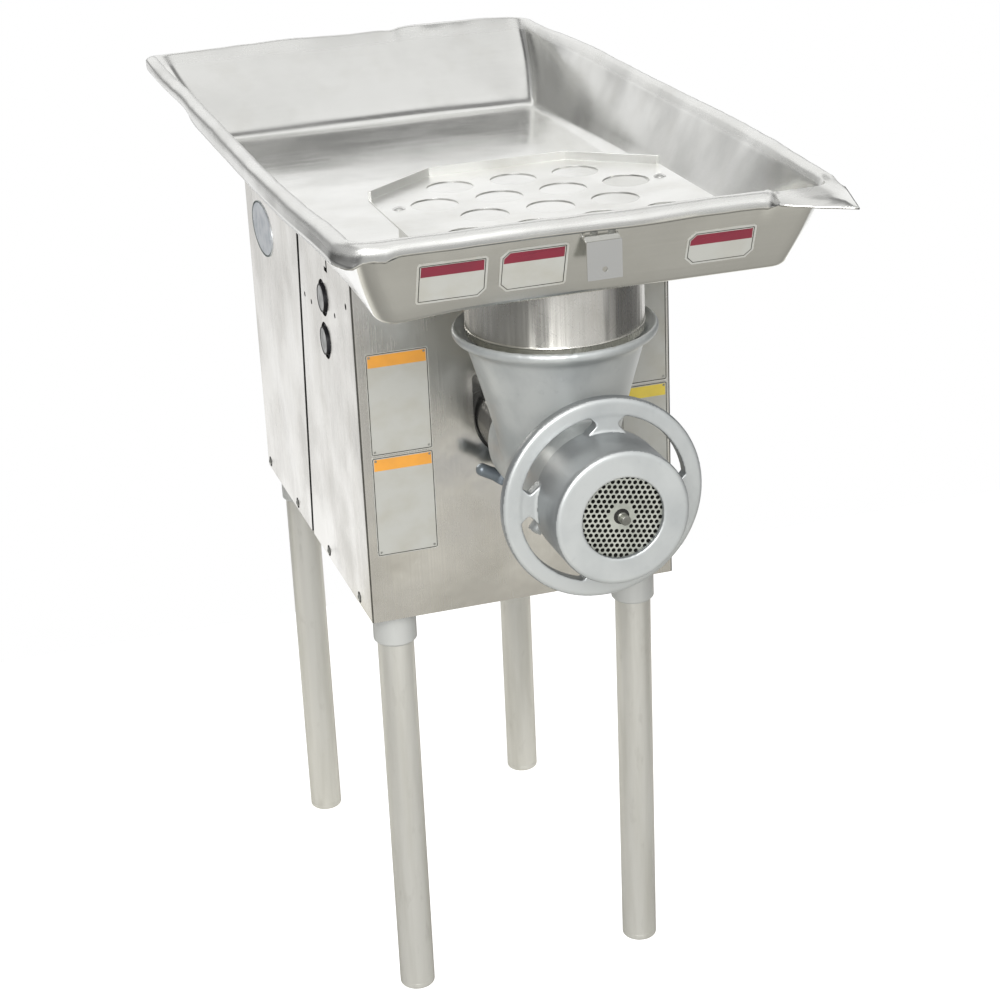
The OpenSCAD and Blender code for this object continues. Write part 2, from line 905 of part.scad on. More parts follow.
module throat_outer()
    translate([0, y_throat, z_axis])
        rotate_extrude()
            polygon(concat(
                [[0, -barrel_r / 2], [barrel_r - throat_lap, -barrel_r / 2]],
                [for (i = [0 : throat_steps])
                 let (t = i / throat_steps)
                 [throat_out_r(t), t * throat_h]],
                [[lip_r - lip_round, throat_h + throat_neck - lip_round],
                 [lip_r, throat_h + throat_neck],
                 [lip_r, throat_h + throat_neck + lip_t - lip_round],
                 [lip_r - lip_round, throat_h + throat_neck + lip_t],
                 [0, throat_h + throat_neck + lip_t]]));

module throat_inner()
    translate([0, y_throat, z_axis])
        rotate_extrude()
            polygon(concat(
                [[0, 0], [bore_r - throat_lap, 0]],
                [for (i = [1 : throat_steps])
                 let (t = i / throat_steps)
                 [throat_out_r(t) - throat_t, t * throat_h]],
                [[neck_r + neck_clear - throat_lap, throat_h + throat_neck],
                 [lip_r - 2 * lip_round, throat_h + throat_neck + lip_t - lip_round / 2],
                 [lip_r - 2 * lip_round, throat_h + throat_neck + lip_t + through],
                 [0, throat_h + throat_neck + lip_t + through]]));

y_cavity = y_nose - head_rear_t;
rear_cone = 24;
rear_step = 3;
key_r = 3;
key_l = 5;
drain_dir = 232;
drain_out = 17;
drain_ahead = 51;
drain_hole_r = 4;

module drain_place()
    translate([0, y_throat - drain_ahead, z_axis])
        rotate([0, 90 - drain_dir, 0])
            children();

module grinder_head()
    color("silver")
        difference() {
            union() {
                y_cyl(barrel_r, y_barrel, y_nose - rear_cone, 0, z_axis);
                translate([0, y_nose, z_axis])
                    rotate([90, 0, 0])
                        cylinder(r1 = nose_r - rear_step, r2 = barrel_r, h = rear_cone + small);
                y_cyl(socket_r, y_nose - small, y_spigot, 0, z_axis);
                throat_outer();
                drain_place()
                    cylinder(r = drain_d / 2, h = barrel_r + drain_out);
            }
            y_cyl(bore_r, y_barrel - through, y_cavity, 0, z_axis);
            y_cyl(plate_d / 2 + run_gap, y_barrel - through, y_plate_back, 0, z_axis);
            y_cyl(journal_r + run_gap, y_cavity - through, y_spigot + through, 0, z_axis);
            throat_inner();
            drain_place()
                cylinder(r = drain_hole_r, h = barrel_r + drain_out + through);
            translate([0, y_plate_back + key_l, z_axis + plate_d / 2])
                rotate([90, 0, 0])
                    cylinder(r = key_r, h = key_l + plate_seat + through);
        }

// The key keeps the plate from turning with the knife
module plate_key()
    color("slategray")
        translate([0, y_plate_back + key_l, z_axis + plate_d / 2])
            rotate([90, 0, 0])
                cylinder(r = key_r - run_gap, h = key_l + plate_seat);

clamp_hub_r = 10;
clamp_taper = 3;
clamp_back = 16;
clamp_y = y_nose + clamp_back;

// The clamp screw's axis points out from the barrel's axis
module clamp_place()
    translate([0, clamp_y, z_axis])
        rotate([0, 90 - clamp_dir, 0])
            children();

module clamp_handle()
    color("gray")
        clamp_place() {
            translate([0, 0, socket_r + face_gap])
                cylinder(r = clamp_r, h = clamp_out - socket_r - face_gap);
            translate([0, 0, nose_r + face_gap])
                cylinder(r1 = clamp_hub_r - clamp_taper, r2 = clamp_hub_r,
                         h = clamp_out - nose_r - face_gap);
            translate([-clamp_bar_l / 2, 0, clamp_out])
                rotate([0, 90, 0])
                    cylinder(r = clamp_bar_r, h = clamp_bar_l);
            for (s = [-1, 1])
                translate([s * clamp_bar_l / 2, 0, clamp_out])
                    sphere(r = clamp_bar_r);
            translate([0, 0, clamp_out])
                cylinder(r = clamp_hub_r, h = clamp_bar_r);
        }

// --- Worm, knife and plate ---

y_knife_front = y_plate_back + face_gap;
y_worm_front = y_knife_front + knife_t;
y_worm_back = y_cavity - face_gap;
worm_tip_r = bore_r - worm_clear;
flight_tip = 30;
flight_root = 70;
flight_rise = 0.12;
flight_fn = 24;
worm_slice = 20;
flight_step = 20;
tang_back = 2;
stud_seat = 1;
worm_l = y_worm_back - y_worm_front;

module flight_shape() {
    circle(r = worm_core_r, $fn = flight_fn);
    polygon(concat(
        [[0, 0]],
        [for (a = [-flight_root : flight_step : flight_root])
         let (low = worm_core_r + (flight_root - abs(a)) * flight_rise,
              r = abs(a) > flight_tip ? low : worm_tip_r)
         r * [cos(a), sin(a)]]));
}

module worm()
    color("silver") {
        translate([0, y_worm_back, z_axis])
            rotate([90, 0, 0])
                linear_extrude(height = worm_l, twist = -360 * worm_l / worm_pitch,
                               slices = ceil(360 * worm_l / worm_pitch / worm_slice),
                               $fn = flight_fn)
                    flight_shape();
        y_cyl(journal_r, y_worm_back - small, y_spigot - face_gap, 0, z_axis);
        square_prism(square_w - 2 * tang_gap, y_spigot - face_gap - small,
                     y_spigot + socket_depth - tang_back);
        square_prism(square_w - 2 * tang_gap, y_knife_front + stud_seat, y_worm_front + small);
    }

nose_neck_r = 3.6;
nose_end_r = 5;
nose_neck_l = 4;
stud_l = stud_seat + face_gap + plate_t;

module worm_stud()
    color("lightsteelblue")
        translate([0, y_knife_front + stud_seat, z_axis])
            rotate([90, 0, 0]) {
                cylinder(r = stud_r, h = stud_l);
                translate([0, 0, stud_l])
                    cylinder(r = nose_neck_r, h = stud_nose);
                translate([0, 0, stud_l + nose_neck_l])
                    cylinder(r = nose_end_r, h = stud_nose - nose_neck_l);
            }

knife_hub_r = 19;
knife_root = 20;

module knife()
    color("lightsteelblue")
        difference() {
            y_prism(y_knife_front, y_worm_front)
                translate([0, z_axis]) {
                    circle(r = knife_hub_r);
                    intersection() {
                        circle(r = worm_tip_r);
                        for (a = [0 : 90 : 270])
                            rotate(a)
                                polygon([[0, -knife_root / 2], [bore_r, -knife_blade / 2],
                                         [bore_r, knife_blade / 2], [0, knife_root / 2]]);
                    }
                }
            square_prism(square_w, y_knife_front - through, y_worm_front + through);
        }

hole_field_past = 2.5;
hole_turn = -10;
hole_fn = 24;
hole_reach = outlet_r + hole_field_past - plate_hole / 2;
hole_rows = floor(hole_reach / (plate_pitch * sqrt(3) / 2));
hole_cols = ceil(hole_reach / plate_pitch) + 1;

// A close hexagonal field of holes round a blank centre; it runs on behind the ring's lip
module plate_holes()
    translate([0, z_axis])
        rotate(hole_turn)
            for (row = [-hole_rows : hole_rows], col = [-hole_cols : hole_cols])
                let (x = (col + abs(row % 2) / 2) * plate_pitch,
                     z = row * plate_pitch * sqrt(3) / 2, r = norm([x, z]))
                if (r < hole_reach && r > plate_blank_r)
                    translate([x, z])
                        circle(r = plate_hole / 2, $fn = hole_fn);

module grinding_plate()
    color("lightsteelblue")
        difference() {
            y_cyl(plate_d / 2, y_plate_front, y_plate_back, 0, z_axis);
            y_cyl(stud_r + run_gap, y_plate_front - through, y_plate_back + through, 0, z_axis);
            y_cyl(key_r, y_plate_front - through, y_plate_back + through,
                  0, z_axis + plate_d / 2);
            y_prism(y_plate_front - through, y_plate_back + through)
                plate_holes();
        }

// --- Adjusting ring ---

ring_l = y_ring_back - y_ring_front;
spoke_root = 2;
spoke_set = 0.5;

// Half section of the hub: radius across, distance from the ring's front face along
module hub_section()
    difference() {
        union() {
            translate([outlet_r, ring_edge])
                square([hub_r - outlet_r, ring_l - ring_edge]);
            translate([outlet_r, 0])
                square([hub_r - ring_edge - outlet_r, ring_edge]);
            translate([hub_r - ring_edge, ring_edge])
                circle(r = ring_edge);
        }
        translate([0, ring_lip])
            square([barrel_r + run_gap, ring_l]);
    }

module wheel_section()
    union() {
        translate([wheel_r - wheel_rim, 0])
            square([wheel_rim - ring_edge, wheel_t]);
        translate([wheel_r - wheel_rim, ring_edge])
            square([wheel_rim, wheel_t - 2 * ring_edge]);
        for (y = [ring_edge, wheel_t - ring_edge])
            translate([wheel_r - ring_edge, y])
                circle(r = ring_edge);
    }

module adjusting_ring()
    color("gainsboro")
        union() {
            translate([0, y_ring_front, z_axis])
                rotate([-90, 0, 0])
                    rotate_extrude()
                        hub_section();
            translate([0, y_ring_back - wheel_t, z_axis])
                rotate([-90, 0, 0])
                    rotate_extrude()
                        wheel_section();
            for (a = [0 : 90 : 270])
                translate([0, y_ring_back - wheel_t + spoke_set, z_axis])
                    rotate([0, -a - spoke_turn, 0])
                        translate([hub_r - spoke_root, 0, -spoke_w / 2])
                            cube([wheel_r - wheel_rim - hub_r + 2 * spoke_root,
                                  wheel_t - 2 * spoke_set, spoke_w]);
        }

// --- Pan ---

y_pan_front = y_front - pan_over;
y_pan_back = y_pan_front + pan_l;
wall_h = pan_t + pan_h - rim_r;
wall_corner_r = pan_corner_r - rim_r + pan_t;
corner_spread = 1;
floor_corner_r = wall_corner_r + corner_spread;

// The pan's outer shape drawn in by inset, from z0 above its underside to past its wall's top
module pan_solid(inset, z0, past)
    hull()
        for (sx = [-1, 1]) {
            for (y = [y_pan_front + floor_corner_r, y_pan_back - floor_corner_r])
                translate([sx * (pan_w / 2 - floor_corner_r), y, z_pan + z0])
                    cylinder(r = floor_corner_r - inset, h = small, $fn = hull_fn);
            for (y = [y_pan_front - pan_front_flare + pan_corner_r,
                      y_pan_back + pan_rear_flare - pan_corner_r])
                translate([sx * (pan_w / 2 + pan_side_flare - pan_corner_r), y,
                           z_pan + wall_h - small])
                    cylinder(r = wall_corner_r - inset, h = small + past, $fn = hull_fn);
        }

rim_step = 15;

// Across the rolled rim: outwards along x, upwards along y
module rim_section()
    polygon(concat(
        [[rim_r, -rim_lip]],
        [for (a = [0 : rim_step : 180]) rim_r * [cos(a), sin(a)]],
        [for (a = [180 : -rim_step : 0]) (rim_r - pan_t) * [cos(a), sin(a)]],
        [[rim_r - pan_t, -rim_lip]]));

rim_half_x = pan_w / 2 + pan_side_flare;
rim_half_y = (pan_l + pan_front_flare + pan_rear_flare) / 2;
rim_mid_y = y_pan_front - pan_front_flare + rim_half_y;

module rim_side(half_out, half_along)
    translate([half_out, 0, 0])
        rotate([90, 0, 0])
            linear_extrude(height = 2 * (half_along - pan_corner_r), center = true)
                rim_section();

module pan_rim()
    translate([0, rim_mid_y, z_pan + wall_h])
        for (s = [0, 180])
            rotate([0, 0, s]) {
                rim_side(rim_half_x, rim_half_y);
                rotate([0, 0, 90])
                    rim_side(rim_half_y, rim_half_x);
                for (m = [0, 1])
                    mirror([m, 0, 0])
                        translate([rim_half_x - pan_corner_r, rim_half_y - pan_corner_r, 0])
                            rotate_extrude(angle = 90)
                                translate([pan_corner_r, 0])
                                    rim_section();
            }

module feed_pan()
    color("lightgray")
        union() {
            difference() {
                pan_solid(0, 0, 0);
                pan_solid(pan_t, pan_t, through);
                translate([0, y_throat, z_pan - through])
                    cylinder(r = neck_r - neck_t, h = pan_t + 2 * through);
            }
            pan_rim();
        }

throat_dip = 6;
neck_bottom = z_lip - throat_dip;
neck_bead = 1.5;

module feed_neck()
    color("silver")
        translate([0, y_throat, neck_bottom])
            difference() {
                union() {
                    cylinder(r = neck_r, h = z_pan - neck_bottom);
                    translate([0, 0, throat_dip])
                        rotate_extrude()
                            translate([neck_r - neck_bead / 2, neck_bead])
                                circle(r = neck_bead);
                }
                translate([0, 0, -through])
                    cylinder(r = neck_r - neck_t, h = z_pan - neck_bottom + 2 * through);
            }

// --- Guard over the neck ---

y_guard_back = y_throat + 2 * guard_row + guard_edge;
y_guard_front = y_guard_back - guard_l;
rivet_in = 19;
rivet_x = guard_w / 2 - rivet_in;
rivet_y = y_guard_back - guard_edge - guard_row;
rivet_r = 3;
rivet_head_r = 7;
rivet_head_t = 2.5;

module guard_outline(inset)
    polygon([[-guard_w / 2 + inset, y_guard_front + inset],
             [guard_w / 2 - inset, y_guard_front + inset],
             [guard_w / 2 - inset, y_guard_back - guard_cut_y - inset / 2],
             [guard_w / 2 - guard_cut_x - inset / 2, y_guard_back - inset],
             [-guard_w / 2 + guard_cut_x + inset / 2, y_guard_back - inset],
             [-guard_w / 2 + inset, y_guard_back - guard_cut_y - inset / 2]]);

module guard_holes()
    for (row = [0 : 3], i = [0 : 2 + row % 2])
        translate([(i - 1 - (row % 2) / 2) * guard_pitch,
                   y_guard_back - guard_edge - row * guard_row, 0])
            children();

module guard_plate()
    color("silver")
        difference() {
            union() {
                translate([0, 0, z_guard])
                    linear_extrude(height = guard_t)
                        guard_outline(0);
                translate([0, 0, z_guard])
                    linear_extrude(height = guard_lip)
                        difference() {
                            guard_outline(0);
                            guard_outline(guard_t);
                            translate([-guard_w, y_guard_front - 2 * guard_t])
                                square([2 * guard_w, guard_l - guard_cut_y + 2 * guard_t]);
                        }
            }
            guard_holes()
                translate([0, 0, z_guard - through])
                    cylinder(r = guard_hole / 2, h = guard_t + 2 * through);
            for (sx = [-1, 1])
                translate([sx * rivet_x, rivet_y, z_guard - through])
                    cylinder(r = rivet_r + run_gap, h = guard_t + 2 * through);
        }

strap_w = 26;
strap_t = 2;
strap_back = 14;
strap_leg = 36;
strap_front = 78;

// Each strap lies under the guard, with a leg down to the pan's floor and a foot on it
module guard_brackets()
    color("silver")
        for (m = [0, 1])
            mirror([m, 0, 0])
                difference() {
                    union() {
                        translate([rivet_x - strap_w / 2, rivet_y - strap_front,
                                   z_guard - strap_t])
                            cube([strap_w, strap_front + strap_back, strap_t]);
                        translate([rivet_x + strap_w / 2 - strap_t, rivet_y - strap_front,
                                   z_pan + pan_t])
                            cube([strap_t, strap_leg, guard_h]);
                        translate([rivet_x - strap_w / 2, rivet_y - strap_front, z_pan + pan_t])
                            cube([strap_w, strap_leg, strap_t]);
                    }
                    translate([rivet_x, rivet_y, z_guard - strap_t - through])
                        cylinder(r = rivet_r + run_gap, h = strap_t + 2 * through);
                }

module dome_rivet(head_r, head_t, shank_r, grip)
    union() {
        translate([0, 0, -grip])
            cylinder(r = shank_r, h = grip + small);
        rotate_extrude()
            intersection() {
                ball_r = (head_r * head_r + head_t * head_t) / (2 * head_t);
                translate([0, head_t - ball_r])
                    circle(r = ball_r);
                square([head_r, head_t]);
            }
    }

module guard_rivets()
    color("lightgray")
        for (sx = [-1, 1])
            translate([sx * rivet_x, rivet_y, z_guard + guard_t])
                dome_rivet(rivet_head_r, rivet_head_t, rivet_r, guard_t + strap_t);

// --- On the pan's front wall ---

wall_lean = atan2(pan_front_flare - rim_r + pan_t, wall_h - small);

// Children stand on the front wall's outside, h up from the floor, with +Z outwards
module on_front_wall(x, h)
    translate([x, y_pan_front - h * tan(wall_lean), z_pan + h])
        rotate([90 + wall_lean, 0, 0])
            children();

// Blank plates on the front wall: [middle, height of the middle, width, height]
front_plates = [[-143, 36, 70, 46], [-62, 38, 68, 48], [130, 35, 72, 38]];

module pan_plates()
    color("white")
        for (p = front_plates)
            on_front_wall(p[0], p[1])
                linear_extrude(height = plate_skin)
                    square([p[2], p[3]], center = true);

latch_x = 4;
latch_w = 36;
latch_h = 60;
latch_tab = 15;
latch_leaf = 38;
latch_t = 2;
latch_hole_r = 2.6;
latch_step = 7;
latch_rivet_dx = 9;
latch_rivet_r = 2;
latch_rivet_head_r = 4;
latch_rivet_head_t = 1.6;
latch_rivet_up = 9;

// The bracket's tab lies on the wall; its leaf hangs straight down in front of it
latch_hole_drop = 28;
latch_leaf_y = y_pan_front - latch_h * tan(wall_lean) - latch_step;

module latch_bracket()
    color("lightgray")
        difference() {
            union() {
                on_front_wall(latch_x, latch_h)
                    translate([-latch_w / 2, 0, 0])
                        cube([latch_w, latch_tab, latch_t]);
                on_front_wall(latch_x, latch_h)
                    translate([-latch_w / 2, 0, 0])
                        cube([latch_w, latch_t, latch_step + latch_t / 2]);
                translate([latch_x - latch_w / 2, latch_leaf_y - latch_t,
                           z_pan + latch_h - latch_leaf])
                    cube([latch_w, latch_t, latch_leaf]);
            }
            on_front_wall(latch_x, latch_h)
                latch_rivet_places()
                    translate([0, 0, -through])
                        cylinder(r = latch_rivet_r + run_gap, h = latch_t + 2 * through);
            y_cyl(latch_hole_r, latch_leaf_y - latch_t - through, latch_leaf_y + through,
                  latch_x, z_pan + latch_h - latch_hole_drop);
        }

module latch_rivet_places()
    for (sx = [-1, 1])
        translate([sx * latch_rivet_dx, latch_rivet_up, 0])
            children();

module latch_rivets()
    color("lightgray")
        on_front_wall(latch_x, latch_h)
            latch_rivet_places()
                translate([0, 0, latch_t])
                    dome_rivet(latch_rivet_head_r, latch_rivet_head_t, latch_rivet_r, latch_t);

front_shell();
rear_cover();
top_cover();
base_plate();
housing_screws();
leg_socket(-leg_x, leg_y_front);  // leg_socket_fl
leg_socket(leg_x, leg_y_front);  // leg_socket_fr
leg_socket(-leg_x, leg_y_rear);  // leg_socket_rl
leg_socket(leg_x, leg_y_rear);  // leg_socket_rr
leg(-leg_x, leg_y_front);  // leg_fl
leg(leg_x, leg_y_front);  // leg_fr
leg(-leg_x, leg_y_rear);  // leg_rl
leg(leg_x, leg_y_rear);  // leg_rr
leg_plugs();
panel_plates();
oval_plate();
cable_gland();
gear_case();
gear_cover();
gear_bearings();
shaft_seal();
drive_shaft();
output_gear();
lay_shaft();
lay_gear();
lay_pinion();
motor_frame();
motor_bell_front();
motor_bell_rear();
motor_feet();
motor_stator();
motor_bearings();
rotor_shaft();
rotor_core();
motor_pinion();
motor_fan();
capacitor();
switch_block();
start_button();
stop_button();
grinder_head();
clamp_handle();
plate_key();
worm();
worm_stud();
knife();
grinding_plate();
adjusting_ring();
feed_pan();
feed_neck();
guard_plate();
guard_brackets();
guard_rivets();
latch_bracket();
latch_rivets();
pan_plates();
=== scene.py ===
import json
import math
import random

import bmesh
import bpy
from mathutils import Matrix, Vector, noise

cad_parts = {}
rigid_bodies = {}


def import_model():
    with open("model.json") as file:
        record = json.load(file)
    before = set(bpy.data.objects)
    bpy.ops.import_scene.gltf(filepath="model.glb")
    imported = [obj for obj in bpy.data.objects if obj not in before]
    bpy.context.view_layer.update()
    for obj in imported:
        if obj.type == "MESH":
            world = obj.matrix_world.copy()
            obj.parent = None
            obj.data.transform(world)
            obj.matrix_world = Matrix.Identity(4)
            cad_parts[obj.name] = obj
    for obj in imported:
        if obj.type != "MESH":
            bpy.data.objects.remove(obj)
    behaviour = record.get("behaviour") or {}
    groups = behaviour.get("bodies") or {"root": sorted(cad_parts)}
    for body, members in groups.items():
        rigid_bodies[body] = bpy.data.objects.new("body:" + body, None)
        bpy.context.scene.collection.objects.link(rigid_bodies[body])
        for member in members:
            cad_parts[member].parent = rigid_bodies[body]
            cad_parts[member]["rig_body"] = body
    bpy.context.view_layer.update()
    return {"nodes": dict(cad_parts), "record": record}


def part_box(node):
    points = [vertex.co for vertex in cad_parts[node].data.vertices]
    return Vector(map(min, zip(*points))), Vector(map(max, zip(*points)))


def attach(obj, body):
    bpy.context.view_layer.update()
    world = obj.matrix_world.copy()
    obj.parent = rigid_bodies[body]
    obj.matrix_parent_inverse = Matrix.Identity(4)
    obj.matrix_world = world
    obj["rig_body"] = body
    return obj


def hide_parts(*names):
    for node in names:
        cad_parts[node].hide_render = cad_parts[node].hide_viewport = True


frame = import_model()

MM = 0.001
nodes = frame["nodes"]


# --- Camera ---

# Where the camera looks and from how far, its angles, and its lens and sensor in mm
CAMERA_AIM = Vector((0, 28.5, 531.4)) * MM
CAMERA_FAR = 2750.7 * MM
CAMERA_TURN = math.radians(-16.27)
CAMERA_RISE = math.radians(22.79)
CAMERA_ROLL = math.radians(-2.87)
CAMERA_LENS = 81.52
CAMERA_SENSOR = 36
CAMERA_SHIFT = (0.0305, 0.0120)


def set_camera():
    """A long lens from the front left, a little above the pan."""
    back = Vector((math.sin(CAMERA_TURN) * math.cos(CAMERA_RISE),
                   -math.cos(CAMERA_TURN) * math.cos(CAMERA_RISE), math.sin(CAMERA_RISE)))
    right = Vector((math.cos(CAMERA_TURN), math.sin(CAMERA_TURN), 0))
    up = back.cross(right)
    across = math.cos(CAMERA_ROLL) * right + math.sin(CAMERA_ROLL) * up
    turned = Matrix((across, back.cross(across), back)).transposed().to_4x4()
    data = bpy.data.cameras.new("camera")
    data.lens = CAMERA_LENS
    data.sensor_width = CAMERA_SENSOR
    data.shift_x, data.shift_y = CAMERA_SHIFT
    data.clip_end = 50
    camera = bpy.data.objects.new("camera", data)
    camera.matrix_world = Matrix.Translation(CAMERA_AIM + CAMERA_FAR * back) @ turned
    bpy.context.scene.collection.objects.link(camera)
    bpy.context.scene.camera = camera


# --- Materials ---

def linear(code):
    """An sRGB hex colour as linear red, green, blue and alpha."""
    parts = [int(code[i:i + 2], 16) / 255 for i in (0, 2, 4)]
    return [c / 12.92 if c <= 0.04045 else ((c + 0.055) / 1.055) ** 2.4 for c in parts] + [1]


def add(tree, kind, inputs, output=0, **settings):
    """Adds a shader node with its settings, and gives one of its outputs. Each input takes a
    value or another node's output."""
    made = tree.nodes.new("ShaderNode" + kind)
    for key, value in settings.items():
        setattr(made, key, value)
    for key, value in inputs.items():
        if isinstance(value, bpy.types.NodeSocket):
            tree.links.new(value, made.inputs[key])
        else:
            made.inputs[key].default_value = value
    return made.outputs[output]


def new_material(name, **constants):
    """A principled material, its node tree, its shader and its object coordinates."""
    made = bpy.data.materials.new(name)
    made.use_nodes = True
    tree = made.node_tree
    shader = tree.nodes["Principled BSDF"]
    for key, value in constants.items():
        shader.inputs[key.replace("_", " ")].default_value = value
    return made, tree, shader, add(tree, "TexCoord", {}, "Object")


def grain(tree, place, size, span, detail=2.0, turn=(0, 0, 0)):
    """Cloudy 0 to 1 pattern. Its patches are size mm along its own x, y and z, which turn
    leans over; a narrow span is hard."""
    held = add(tree, "Mapping", {"Vector": place, "Rotation": turn,
                                 "Scale": [s * MM for s in size]}, vector_type="TEXTURE")
    cloud = add(tree, "TexNoise", {"Vector": held, "Scale": 1.0, "Detail": detail})
    return add(tree, "MapRange", {"Value": cloud, "From Min": span[0], "From Max": span[1]})


def profile(tree, place, stops):
    """A level that runs smoothly through some stops, each a place and a level."""
    level = stops[0][1]
    for (low, before), (high, after) in zip(stops, stops[1:]):
        step = add(tree, "MapRange", {"Value": place, "From Min": low, "From Max": high,
                                      "To Min": 0, "To Max": after - before},
                   interpolation_type="SMOOTHSTEP")
        level = add(tree, "Math", {0: level, 1: step}, operation="ADD")
    return level


def coat(tree, shader, ground, layers):
    """The colour: a ground with layers on it. Each layer is a pattern, its strength and its
    colour."""
    colour = linear(ground)
    for pattern, strength, over in layers:
        share = add(tree, "Math", {0: pattern, 1: strength}, operation="MULTIPLY")
        colour = add(tree, "Mix", {0: share, 6: colour, 7: linear(over)}, 2, data_type="RGBA")
    tree.links.new(colour, shader.inputs["Base Color"])


def sheen(tree, shader, rough, layers):
    """The roughness: a ground value, which each layer's pattern changes by up to its amount."""
    for pattern, amount in layers:
        change = profile(tree, pattern, ((0, 0), (1, amount)))
        rough = add(tree, "Math", {0: rough, 1: change}, operation="ADD")
    tree.links.new(rough, shader.inputs["Roughness"])


def relief(tree, shader, layers):
    """Bumps laid over each other: each layer is a pattern, its depth in mm and its strength."""
    under = {}
    for height, depth, strength in layers:
        bump = add(tree, "Bump", {"Height": height, "Distance": depth * MM,
                                  "Strength": strength, **under})
        under = {"Normal": bump}
    tree.links.new(bump, shader.inputs["Normal"])


# Leans that cut every upright or level face at a slant
SLANTS = ((0.62, 0.0, 0.79), (0.62, 0.0, -0.79), (-0.62, 0.0, 2.36), (-0.62, 0.0, -2.36))
# Widths of lines in mm. Real brush lines, tool marks and scratches are finer, but wouldn't show
BRUSH_LINE = 1.4
TOOL_MARK = 0.8
SCRATCH = 0.8


def scratches(tree, place, length, rare):
    """Straight scratches that cross each other, each length mm long. rare is near 0.7."""
    total = 0.0
    for turn in SLANTS:
        lines = grain(tree, place, (length, SCRATCH, length), (rare, rare + 0.06), 0.5, turn)
        total = add(tree, "Math", {0: total, 1: lines}, operation="MAXIMUM")
    return total


def worn_stainless(name, pale, dull, rough, along, sag=1.0, wear=0.5, handled_above=2000):
    """Rolled sheet with its factory brush grain nearly wiped away: soft reflections that bend
    where the sheet is wavy, milky patches from years of cloths, faint brown stains, and bright
    hair scratches. along is the axis that the brush grain runs along. Hands have rubbed the
    metal dull above a height in mm."""
    made, tree, shader, place = new_material(name)
    lines = [260 if axis == along else BRUSH_LINE for axis in "xyz"]
    brush = grain(tree, place, lines, (0.3, 0.7), 3)
    wiped = grain(tree, place, (110, 90, 100), (0.36, 0.68), 5)
    stain = grain(tree, place, (46, 40, 70), (0.50, 0.80), 6)
    cuts = scratches(tree, place, 34, 0.73)
    height = add(tree, "SeparateXYZ", {"Vector": place}, "Z")
    rubbed = profile(tree, height, ((handled_above * MM, 0), ((handled_above + 7) * MM, 1)))
    coat(tree, shader, pale, [(wiped, wear, dull), (stain, 0.35 * wear, "a39c88"),
                              (cuts, 0.15, "f4f4f0")])
    sheen(tree, shader, rough - 0.03, [(wiped, 0.10), (brush, 0.06), (cuts, -0.05),
                                       (rubbed, 0.12)])
    tree.links.new(profile(tree, rubbed, ((0, 1), (1, 0.8))), shader.inputs["Metallic"])
    wave = grain(tree, place, (150, 130, 170), (0, 1), 1)
    dimple = grain(tree, place, (38, 34, 40), (0.2, 0.8), 2)
    relief(tree, shader, [(wave, 9 * sag, 1.0), (dimple, 0.5 * sag, 0.7), (brush, 0.012, 0.5),
                          (cuts, 0.03, 0.4)])
    return made


def tinned_casting(name, pale, dark, rough, metallic=0.5, cloudy=0.6, pitted=0.10):
    """Cast iron, hot-tinned and then polished by use: satin, slightly blue, with large grey
    clouds where the tin is thin and the faint unevenness of the sand mould."""
    made, tree, shader, place = new_material(name, Metallic=metallic)
    cloud = grain(tree, place, (70, 60, 80), (0.46, 0.70), 4)
    fleck = grain(tree, place, (7, 7, 7), (0.62, 0.74), 3)
    skin = grain(tree, place, (2.2, 2.2, 2.2), (0.3, 0.7), 3)
    lumps = grain(tree, place, (40, 40, 40), (0.2, 0.8), 2)
    coat(tree, shader, pale, [(cloud, cloudy, dark), (fleck, 0.16, dark)])
    sheen(tree, shader, rough, [(cloud, 0.10)])
    relief(tree, shader, [(lumps, 0.7, 0.5), (skin, pitted, 0.25)])
    return made


def metal_paint(name, pale, dark, rough, metallic=0.35, rubbed=0.5):
    """Aluminium paint brushed on iron: soft grey sheen, a little orange peel, rubbed and
    stained in upright runs."""
    made, tree, shader, place = new_material(name, Metallic=metallic)
    run = grain(tree, place, (18, 18, 210), (0.42, 0.7), 4)
    scuff = grain(tree, place, (11, 11, 30), (0.60, 0.75), 5)
    peel = grain(tree, place, (3, 3, 3), (0.3, 0.7), 2)
    coat(tree, shader, pale, [(run, rubbed, dark), (scuff, 0.35 * rubbed, "98958a")])
    sheen(tree, shader, rough, [(run, 0.12)])
    relief(tree, shader, [(peel, 0.10, 0.35)])
    return made


def turned_steel(name, pale, dark, rough, film=(14, 14, 14), metallic=0.9):
    """Machined and ground steel: bright, with fine tool marks and a film of grease."""
    made, tree, shader, place = new_material(name, Metallic=metallic)
    grease = grain(tree, place, film, (0.4, 0.7), 4)
    marks = grain(tree, place, (40, TOOL_MARK, 40), (0.3, 0.7), 2)
    coat(tree, shader, pale, [(grease, 1, dark)])
    sheen(tree, shader, rough, [(grease, 0.14)])
    relief(tree, shader, [(marks, 0.03, 0.5)])
    return made


def moulded_plastic(name, pale, dark, rough):
    """Moulded plastic: an even skin with a fine spark-eroded texture and handling shine."""
    made, tree, shader, place = new_material(name)
    handled = grain(tree, place, (12, 12, 12), (0.4, 0.7), 3)
    skin = grain(tree, place, (0.9, 0.9, 0.9), (0.3, 0.7), 2)
    coat(tree, shader, pale, [(handled, 1, dark)])
    sheen(tree, shader, rough, [(handled, 0.2)])
    relief(tree, shader, [(skin, 0.05, 0.4)])
    return made


